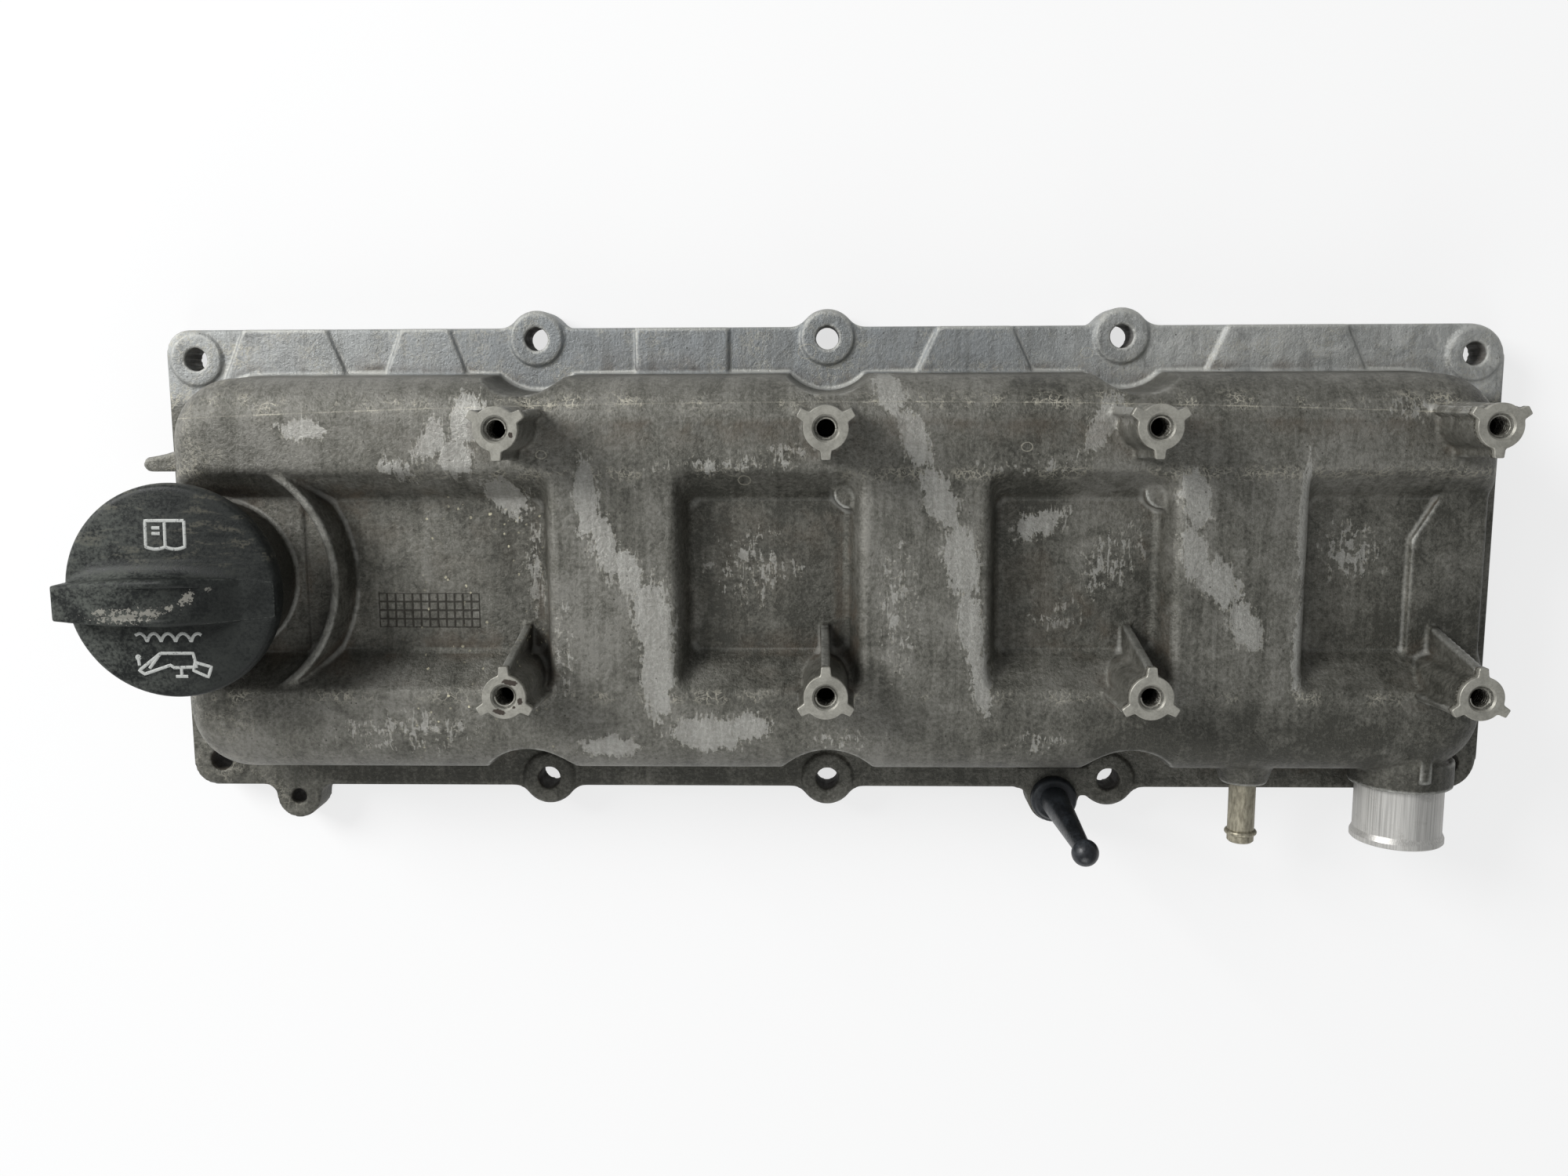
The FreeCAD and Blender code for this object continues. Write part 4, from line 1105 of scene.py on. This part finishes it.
def loft(sections: list[list[Point]], ring: bool) -> bmesh.types.BMesh:
    """Closed solid through sections of equal point counts, in metres.

    Args:
        sections: Closed loops of points in millimetres.
        ring: Whether the last section joins the first; otherwise both ends are capped.

    Returns:
        The solid.
    """
    mesh = bmesh.new()
    loops = [[mesh.verts.new(Vector(point) * MM) for point in section] for section in sections]
    pairs = list(zip(loops, loops[1:]))
    if ring:
        pairs.append((loops[-1], loops[0]))
    else:
        mesh.faces.new(loops[0][::-1])
        mesh.faces.new(loops[-1])
    for loop, following in pairs:
        for index in range(len(loop)):
            after = (index + 1) % len(loop)
            mesh.faces.new((loop[index], loop[after], following[after], following[index]))
    bmesh.ops.recalc_face_normals(mesh, faces=mesh.faces)
    return mesh


@dataclass
class Casting:
    """The aluminium casting as one soft-edged skin."""

    voxel_mm: float = 0.62
    passes: int = 3
    keep: float = 0.145
    flange_z: float = 13.2
    boss_head_z: float = 61.5
    full_bend_mm: float = 1.6
    shelter_reach_mm: float = 8.0
    far_field: Path = ((164.0, -24.5), (184.5, -24.5), (184.5, 22.5), (172.0, 22.5), (164.0, 9.0))
    far_field_z: Spot = (29.9, 33.1)
    foot_z: float = 1.2

    def _edge_softness(self, points: np.ndarray) -> np.ndarray:
        """Full smoothing on cast walls, little on the flange steps, none on machined faces."""
        z = points[:, 2]
        weight = np.ones(len(points))
        weight[z < self.flange_z] = 0.25
        weight[z > self.boss_head_z] = 0.5
        weight[z < self.foot_z] = 0.0
        return weight

    def build(self, finishes: Finishes) -> bpy.types.Object:
        """Make the casting."""
        mesh = merged_copy("cover_casting")
        levels = [[(x, y, z) for x, y in self.far_field] for z in self.far_field_z]
        add_solids(mesh, loft(levels, False))
        rough = object_from(mesh, "casting_rough")
        body = recast(rough, "cast_cover", self.voxel_mm, self.passes, self.keep,
                      self._edge_softness)
        mark_edges(body, self.full_bend_mm)
        mark_shelter(body, self.shelter_reach_mm)
        finishes.dress(body, "cast_aluminium")
        return settle(body, Body.COVER, "cast_aluminium", "cover_casting")


@dataclass
class BossHeads:
    """Milled heads of the eight screw bosses with the turns of their threads."""

    columns: tuple[float, ...] = (-86.7, -0.7, 85.3, 171.3)
    upper_y: float = 41.5
    lower_y: float = -29.6
    foot_z: float = 61.2
    top_z: float = 63.78
    ring_r: float = 5.92
    tab_reach: float = 8.15
    tab_half: float = 1.3
    tab_angles_deg: tuple[float, ...] = (90.0, 210.0, 330.0)
    tab_squareness: float = 14.0
    root_softness: float = 9.0
    edge_break: float = 0.16
    mouth_r: float = 3.7
    mouth_break: float = 0.15
    core_r: float = 2.62
    core_z: float = 62.55
    sleeve_low_z: float = 54.0
    sleeve_r: float = 3.6
    thread_pitch: float = 1.0
    thread_turns: float = 7.5
    thread_wire_r: float = 0.3
    thread_sunk: float = 0.06
    thread_start: float = 0.15
    steps: int = 168

    def _outline_r(self, angle: float, shrink: float) -> float:
        """Distance from the axis to the outline of the head in one direction."""
        parts = [self.ring_r - shrink]
        for tab_deg in self.tab_angles_deg:
            off = (angle - math.radians(tab_deg) + math.pi) % (2 * math.pi) - math.pi
            if abs(off) < math.pi / 2:
                tip = (self.tab_reach - shrink) / max(math.cos(off), 0.2)
                side = (self.tab_half - shrink) / max(abs(math.sin(off)), 1e-6)
                square = self.tab_squareness
                parts.append((tip ** -square + side ** -square) ** (-1 / square))
        power = self.root_softness
        return sum(part ** power for part in parts) ** (1 / power)

    def _loop(self, radius: float | None, z: float, shrink: float = 0.0) -> list[Point]:
        """Level loop of the head, round or along its outline."""
        loop = []
        for k in range(self.steps):
            angle = 2 * math.pi * k / self.steps
            reach = self._outline_r(angle, shrink) if radius is None else radius
            loop.append((reach * math.cos(angle), reach * math.sin(angle), z))
        return loop

    def _head(self) -> bpy.types.Object:
        """One head at the origin with its countersunk bore."""
        sections = [
            self._loop(None, self.foot_z),
            self._loop(None, self.top_z - self.edge_break),
            self._loop(None, self.top_z, self.edge_break),
            self._loop(self.mouth_r, self.top_z),
            self._loop(self.mouth_r - self.mouth_break, self.top_z - self.mouth_break),
            self._loop(self.core_r, self.core_z),
            self._loop(self.core_r, self.sleeve_low_z),
            self._loop(self.sleeve_r, self.sleeve_low_z),
            self._loop(self.sleeve_r, self.foot_z),
        ]
        return object_from(loft(sections, True), "boss_head", 28.0)

    def _places(self) -> bpy.types.Object:
        """Points of the eight bosses with the turn of each head."""
        spots = [(x, self.upper_y, math.pi) for x in self.columns]
        spots += [(x, self.lower_y, 0.0) for x in self.columns]
        data = bpy.data.meshes.new("boss_places")
        data.from_pydata([(x * MM, y * MM, 0.0) for x, y, _ in spots], [], [])
        turn = data.attributes.new("turn", "FLOAT_VECTOR", "POINT")
        for item, (_, _, angle) in zip(turn.data, spots):
            item.vector = (0.0, 0.0, angle)
        return new_object("boss_places", data)

    def build(self, finishes: Finishes) -> bpy.types.Object:
        """Make all heads."""
        head = self._head()
        graph = Graph("boss_heads")
        template = graph.knob("Head", "NodeSocketObject", head)
        turns = graph.knob("Thread turns", "NodeSocketFloat", self.thread_turns)
        length = self.thread_turns * self.thread_pitch
        rise = graph.knob("Thread height", "NodeSocketFloat", length * MM)
        radius = graph.knob("Thread radius", "NodeSocketFloat", (self.core_r + self.thread_sunk) * MM)
        helix = graph.node("GeometryNodeCurveSpiral", None, {
            "Resolution": 22, "Rotations": turns, "Start Radius": radius, "End Radius": radius,
            "Height": rise})
        wire = graph.node("GeometryNodeCurvePrimitiveCircle", None,
                          {"Resolution": 5, "Radius": self.thread_wire_r * MM})
        coil = graph.node("GeometryNodeCurveToMesh", None,
                          {"Curve": helix, "Profile Curve": wire, "Fill Caps": True})
        low = self.core_z + self.thread_start - length
        lifted = graph.node("GeometryNodeTransform", None,
                            {"Geometry": coil, "Translation": (0.0, 0.0, low * MM)})
        solid = graph.node("GeometryNodeObjectInfo", {"transform_space": "ORIGINAL"},
                           {"Object": template}, "Geometry")
        whole = graph.node("GeometryNodeJoinGeometry", None, {0: [solid, lifted]})
        turn = graph.node("GeometryNodeInputNamedAttribute", {"data_type": "FLOAT_VECTOR"},
                          {"Name": "turn"})
        feeds = {"Points": graph.entry.outputs[0], "Instance": whole, "Rotation": turn}
        placed = graph.node("GeometryNodeInstanceOnPoints", None, feeds)
        heads = graph.grow(placed, finishes.faced, self._places())
        bpy.data.objects.remove(head)
        return settle(heads, Body.COVER, "cast_aluminium")


@dataclass
class FillerCap:
    """Screw cap of the filler neck."""

    neck_x: float = NECK_X
    neck_y: float = NECK_Y
    crown_z: float = 64.0
    crown_drop: float = 1.1
    rim_r: float = 27.2
    wall: Path = ((0.0, 57.0), (27.6, 57.0), (28.6, 57.7), (28.9, 59.0), (28.9, 61.4), (28.6, 62.2),
                  (27.9, 62.75), (27.2, 62.9), (14.0, 63.72), (0.0, 64.0))
    grip_top_z: float = 72.0
    grip_y: float = -2.0
    grip_half: float = 4.7
    grip_bulge: float = 1.6
    grip_flat_x: float = 12.0
    grip_end_x: float = 28.0
    grip_drop: float = 6.5
    worn_top_z: float = 71.2
    worn_flat_x: float = 2.0
    worn_end_x: float = 19.0
    worn_end_height: float = 0.15
    foot_round: float = 4.2
    fillet_facets: int = 8
    fillet_inset: float = 1.5
    fillet_sink: float = 1.2
    stations: int = 36
    voxel_mm: float = 0.42
    passes: int = 4
    keep: float = 0.45
    full_bend_mm: float = 1.2

    def _foot_fillet(self) -> bmesh.types.BMesh:
        """Hollow sweep between the upper side of the finger bar and the crown."""
        sections = []
        slope_length = self.grip_end_x - self.grip_flat_x
        for k in range(self.stations):
            along = (2 * self.grip_end_x - 4.0) * k / (self.stations - 1)
            x = -self.grip_end_x + self.fillet_inset + along
            drop = max(0.0, (x - self.grip_flat_x) / slope_length) * self.grip_drop
            crown = self.crown_z - self.crown_drop * (x / self.rim_r) ** 2
            height = max(self.grip_top_z - drop - crown, 0.3)
            near_tip = min(1.0, 0.15 + (x + self.grip_end_x) / 9.0)
            radius = max(0.25, min(self.foot_round, 0.75 * height) * near_tip)
            bulge = self.grip_bulge * (1 - (x / self.grip_end_x) ** 2)
            side = self.grip_y + self.grip_half + bulge
            inner, low = side - self.fillet_inset, crown - self.fillet_sink
            section = [(inner, low), (side + radius, low)]
            for turn in range(self.fillet_facets + 1):
                angle = math.radians(270 - 90 * turn / self.fillet_facets)
                section.append((side + radius + radius * math.cos(angle),
                                crown + radius + radius * math.sin(angle)))
            section.append((inner, crown + radius))
            sections.append([(self.neck_x + x, self.neck_y + y, z) for y, z in section])
        return loft(sections, False)

    def _slope_grip(self, obj: bpy.types.Object) -> None:
        """Let the finger bar fall towards its right end as a long ramp."""
        points = values_of(obj.data.vertices, "co", 3) / MM
        x, y, z = points[:, 0] - self.neck_x, points[:, 1] - self.neck_y, points[:, 2]
        crown = self.crown_z - self.crown_drop * (x ** 2 + y ** 2) / self.rim_r ** 2
        slope = (x - self.grip_flat_x) / (self.grip_end_x + 1.0 - self.grip_flat_x)
        moulded = self.grip_top_z - self.grip_drop * np.clip(slope, 0.0, 1.0)
        ramp = np.clip((x - self.worn_flat_x) / (self.worn_end_x - self.worn_flat_x), 0.0, 1.0)
        wanted = self.worn_top_z + (crown + self.worn_end_height - self.worn_top_z) * ramp
        above = z > crown + 0.1
        share = (wanted - crown) / np.maximum(moulded - crown, 0.5)
        points[:, 2] = np.where(above, crown + (z - crown) * share, z)
        obj.data.vertices.foreach_set("co", (points * MM).ravel())
        obj.data.update()

    def build(self, finishes: Finishes) -> bpy.types.Object:
        """Make the cap."""
        mesh = merged_copy("filler_cap")
        add_solids(mesh, self._foot_fillet(), lathe(self.wall, (self.neck_x, self.neck_y)))
        rough = object_from(mesh, "cap_rough")
        cap = recast(rough, "screw_cap", self.voxel_mm, self.passes, self.keep,
                     lambda points: np.ones(len(points)))
        self._slope_grip(cap)
        mark_edges(cap, self.full_bend_mm)
        finishes.dress(cap, "cap_plastic")
        return settle(cap, Body.CAP, "cap_plastic", "filler_cap")


@dataclass
class CapPrints:
    """Pad-printed oil can, waves and handbook symbol on the crown of the cap."""

    neck_x: float = NECK_X
    neck_y: float = NECK_Y
    stroke_r: float = 0.8
    sunk: float = 0.66
    spacing: float = 0.7
    cusps: tuple[float, ...] = (-6.6, -2.8, 1.1, 5.3)
    outer_wave: float = 3.8
    wave_low_y: float = -13.2
    wave_high_y: float = -11.0
    wave_ends: Spot = (-9.6, 8.6)
    can: Path = ((-3.3, -16.4), (5.5, -16.4), (6.1, -20.2), (0.0, -20.4), (-0.9, -19.7),
                 (-8.2, -22.2), (-9.6, -21.2))
    spout: Path = ((-3.3, -16.4), (-6.7, -20.6))
    handle: Path = ((5.8, -18.9), (10.1, -20.2), (9.0, -23.0), (5.2, -21.2), (5.8, -18.9))
    foot: Path = ((0.3, -22.8), (3.6, -22.8))
    stem: Path = ((2.0, -20.4), (1.9, -22.8))
    drop_centre: Spot = (-9.5, -17.6)
    drop_r: float = 0.42
    drop_tail: Path = ((-9.5, -17.6), (-9.4, -19.8))
    book_left: float = -5.1
    book_right: float = 5.3
    book_top_y: float = 19.1
    book_low_y: float = 12.2
    page_bars: Path = ((-3.4, 17.2), (-3.4, 15.7))
    page_bar_length: float = 2.2

    def _wave(self) -> list[Spot]:
        """Row of arcs between the cusps of the oil level."""
        wave = [(self.wave_ends[0], self.wave_high_y)]
        stops = [self.cusps[0] - self.outer_wave, *self.cusps, self.cusps[-1] + self.outer_wave]
        for left, right in zip(stops, stops[1:]):
            for share in (k / 8 for k in range(9)):
                x = left + (right - left) * share
                if self.wave_ends[0] <= x <= self.wave_ends[1]:
                    bow = math.sin(math.pi * share) ** 0.7
                    wave.append((x, self.wave_low_y + (self.wave_high_y - self.wave_low_y) * bow))
        return wave

    def _strokes(self) -> list[list[Spot]]:
        """Centre lines of every stroke, in millimetres from the axis of the cap."""
        spine = (self.book_left + self.book_right) / 2
        pages = []
        for left, right in ((self.book_left, spine), (spine, self.book_right)):
            for share in (k / 6 for k in range(7)):
                sag = 0.6 * math.sin(math.pi * share)
                pages.append((left + (right - left) * share, self.book_low_y - sag))
        book = [(self.book_right, self.book_top_y), (self.book_left, self.book_top_y), *pages,
                (self.book_right, self.book_top_y)]
        ring = circle_points(*self.drop_centre, self.drop_r, 12)
        bars = [[(x, y), (x + self.page_bar_length, y)] for x, y in self.page_bars]
        return [self._wave(), [*self.can, self.can[0]], list(self.spout), list(self.handle),
                list(self.foot), list(self.stem), [*ring, ring[0]], list(self.drop_tail), book,
                [(spine, self.book_top_y), (spine, self.book_low_y)], *bars]

    def _walk(self, line: list[Spot]) -> list[Spot]:
        """The same line with points at most one spacing apart."""
        dense = [line[0]]
        for (x0, y0), (x1, y1) in zip(line, line[1:]):
            parts = max(1, math.ceil(math.hypot(x1 - x0, y1 - y0) / self.spacing))
            dense += [(x0 + (x1 - x0) * k / parts, y0 + (y1 - y0) * k / parts)
                      for k in range(1, parts + 1)]
        return dense

    def build(self, finishes: Finishes, cap: bpy.types.Object) -> bpy.types.Object:
        """Lay the strokes on the cap.

        Args:
            finishes: All finishes.
            cap: The cap that carries the prints.

        Returns:
            The prints.
        """
        corners = [vertex.co for vertex in cap.data.vertices]
        crown = BVHTree.FromPolygons(corners, [polygon.vertices for polygon in cap.data.polygons])
        points: list[Vector] = []
        edges: list[tuple[int, int]] = []
        for line in self._strokes():
            first = len(points)
            for x, y in self._walk(line):
                above = Vector((self.neck_x + x, self.neck_y + y, 90.0)) * MM
                hit = crown.ray_cast(above, Vector((0.0, 0.0, -1.0)))[0]
                points.append(hit - Vector((0.0, 0.0, self.sunk * MM)))
            edges += [(k, k + 1) for k in range(first, len(points) - 1)]
        data = bpy.data.meshes.new("print_lines")
        data.from_pydata(points, edges, [])
        graph = Graph("cap_prints")
        stroke = graph.knob("Stroke radius", "NodeSocketFloat", self.stroke_r * MM)
        lines = graph.node("GeometryNodeMeshToCurve", None, {"Mesh": graph.entry.outputs[0]})
        profile = graph.node("GeometryNodeCurvePrimitiveCircle", None,
                             {"Resolution": 14, "Radius": stroke})
        swept = graph.node("GeometryNodeCurveToMesh", None,
                           {"Curve": lines, "Profile Curve": profile, "Fill Caps": True})
        prints = graph.grow(swept, finishes.cap_print, new_object("print_lines", data))
        return settle(prints, Body.CAP, "cap_plastic")


@dataclass(frozen=True)
class Lamp:
    """Square soft lamp that points at the cover, in metres."""

    name: str
    place: Point
    size: float
    watts: float
    target: Point = (0.0, 0.0, 0.03)

    def build(self) -> None:
        """Make the lamp."""
        data = bpy.data.lights.new(self.name, "AREA")
        data.shape = "SQUARE"
        data.size = self.size
        data.energy = self.watts
        lamp = new_object(self.name, data)
        lamp.location = self.place
        aim = Vector(self.place) - Vector(self.target)
        lamp.rotation_euler = aim.to_track_quat("Z", "Y").to_euler()


@dataclass
class Studio:
    """Pale floor, soft light and the camera of the photograph."""

    camera_place_mm: Point = (-2.56, 49.26, 410.04)
    camera_forward: Point = (-0.0261, -0.1411, -0.9896)
    camera_up: Point = (0.0003, 0.9900, -0.1412)
    focal_px: float = 1700.0
    frame_width_px: float = 2000.0
    sensor_mm: float = 36.0
    floor_half: float = 3.0
    floor_drop_mm: float = 0.05
    floor_colour: Colour = (0.8, 0.8, 0.8)
    floor_glow: float = 0.72
    room_colour: Colour = (0.96, 0.98, 1.0)
    room_strength: float = 0.36
    lamps: tuple[Lamp, ...] = (Lamp("window_light", (-0.95, 0.6, 0.75), 0.55, 18.0),
                               Lamp("fill_light", (-0.1, -0.9, 0.8), 0.7, 4.5))

    def _camera(self) -> None:
        """Camera at the photograph's viewing angle."""
        data = bpy.data.cameras.new("viewpoint")
        data.sensor_width = self.sensor_mm
        data.lens = self.focal_px * self.sensor_mm / self.frame_width_px
        data.clip_start = 0.01
        camera = new_object("viewpoint", data)
        back = -Vector(self.camera_forward).normalized()
        right = Vector(self.camera_up).cross(back).normalized()
        turn = Matrix((right, back.cross(right), back)).transposed().to_4x4()
        camera.matrix_world = Matrix.Translation(Vector(self.camera_place_mm) * MM) @ turn
        bpy.context.scene.camera = camera

    def _floor(self) -> None:
        """Pale floor that shows white to the camera and keeps the shadow."""
        shop = Shop("pale_floor")
        ray = shop.node("ShaderNodeLightPath", out="Is Camera Ray")
        glossy = shop.node("ShaderNodeLightPath", out="Is Glossy Ray")
        matt = shop.node("ShaderNodeBsdfDiffuse", None, {"Color": (*self.floor_colour, 1.0)})
        glow = shop.node("ShaderNodeEmission", None,
                         {"Color": (1.0, 1.0, 1.0, 1.0), "Strength": 1.0})
        share = ray.at_least(glossy * 0.5) * self.floor_glow
        surface = shop.node("ShaderNodeMixShader", None, {"Fac": share, 1: matt, 2: glow})
        shop.node("ShaderNodeOutputMaterial", None, {"Surface": surface})
        level = CAD_BOX[0][2] - self.floor_drop_mm * MM
        mesh = bmesh.new()
        half = self.floor_half
        corners = [(-half, -half), (half, -half), (half, half), (-half, half)]
        mesh.faces.new([mesh.verts.new((x, y, level)) for x, y in corners])
        floor = object_from(mesh, "studio_floor")
        floor.data.materials.append(shop.owner)

    def _world(self) -> None:
        """Even pale surroundings, white to the camera."""
        shop = Shop("soft_room", bpy.data.worlds)
        ray = shop.node("ShaderNodeLightPath", out="Is Camera Ray")
        room = shop.node("ShaderNodeBackground", None,
                         {"Color": (*self.room_colour, 1.0), "Strength": self.room_strength})
        white = shop.node("ShaderNodeBackground", None, {"Color": (1.0, 1.0, 1.0, 1.0)})
        surface = shop.node("ShaderNodeMixShader", None, {"Fac": ray, 1: room, 2: white})
        shop.node("ShaderNodeOutputWorld", None, {"Surface": surface})
        bpy.context.scene.world = shop.owner

    def build(self) -> None:
        """Set up camera, floor, surroundings and lamps."""
        self._camera()
        self._floor()
        self._world()
        for lamp in self.lamps:
            lamp.build()
        bpy.context.scene.view_settings.view_transform = "Standard"


def main() -> None:
    """Build the cover piece by piece."""
    logging.basicConfig(level=logging.INFO, format="%(message)s")
    finishes = Finishes()
    finishes.dress_nodes()
    Casting().build(finishes)
    BossHeads().build(finishes)
    cap = FillerCap().build(finishes)
    CapPrints().build(finishes, cap)
    Studio().build()


if __name__ == "__main__":
    main()
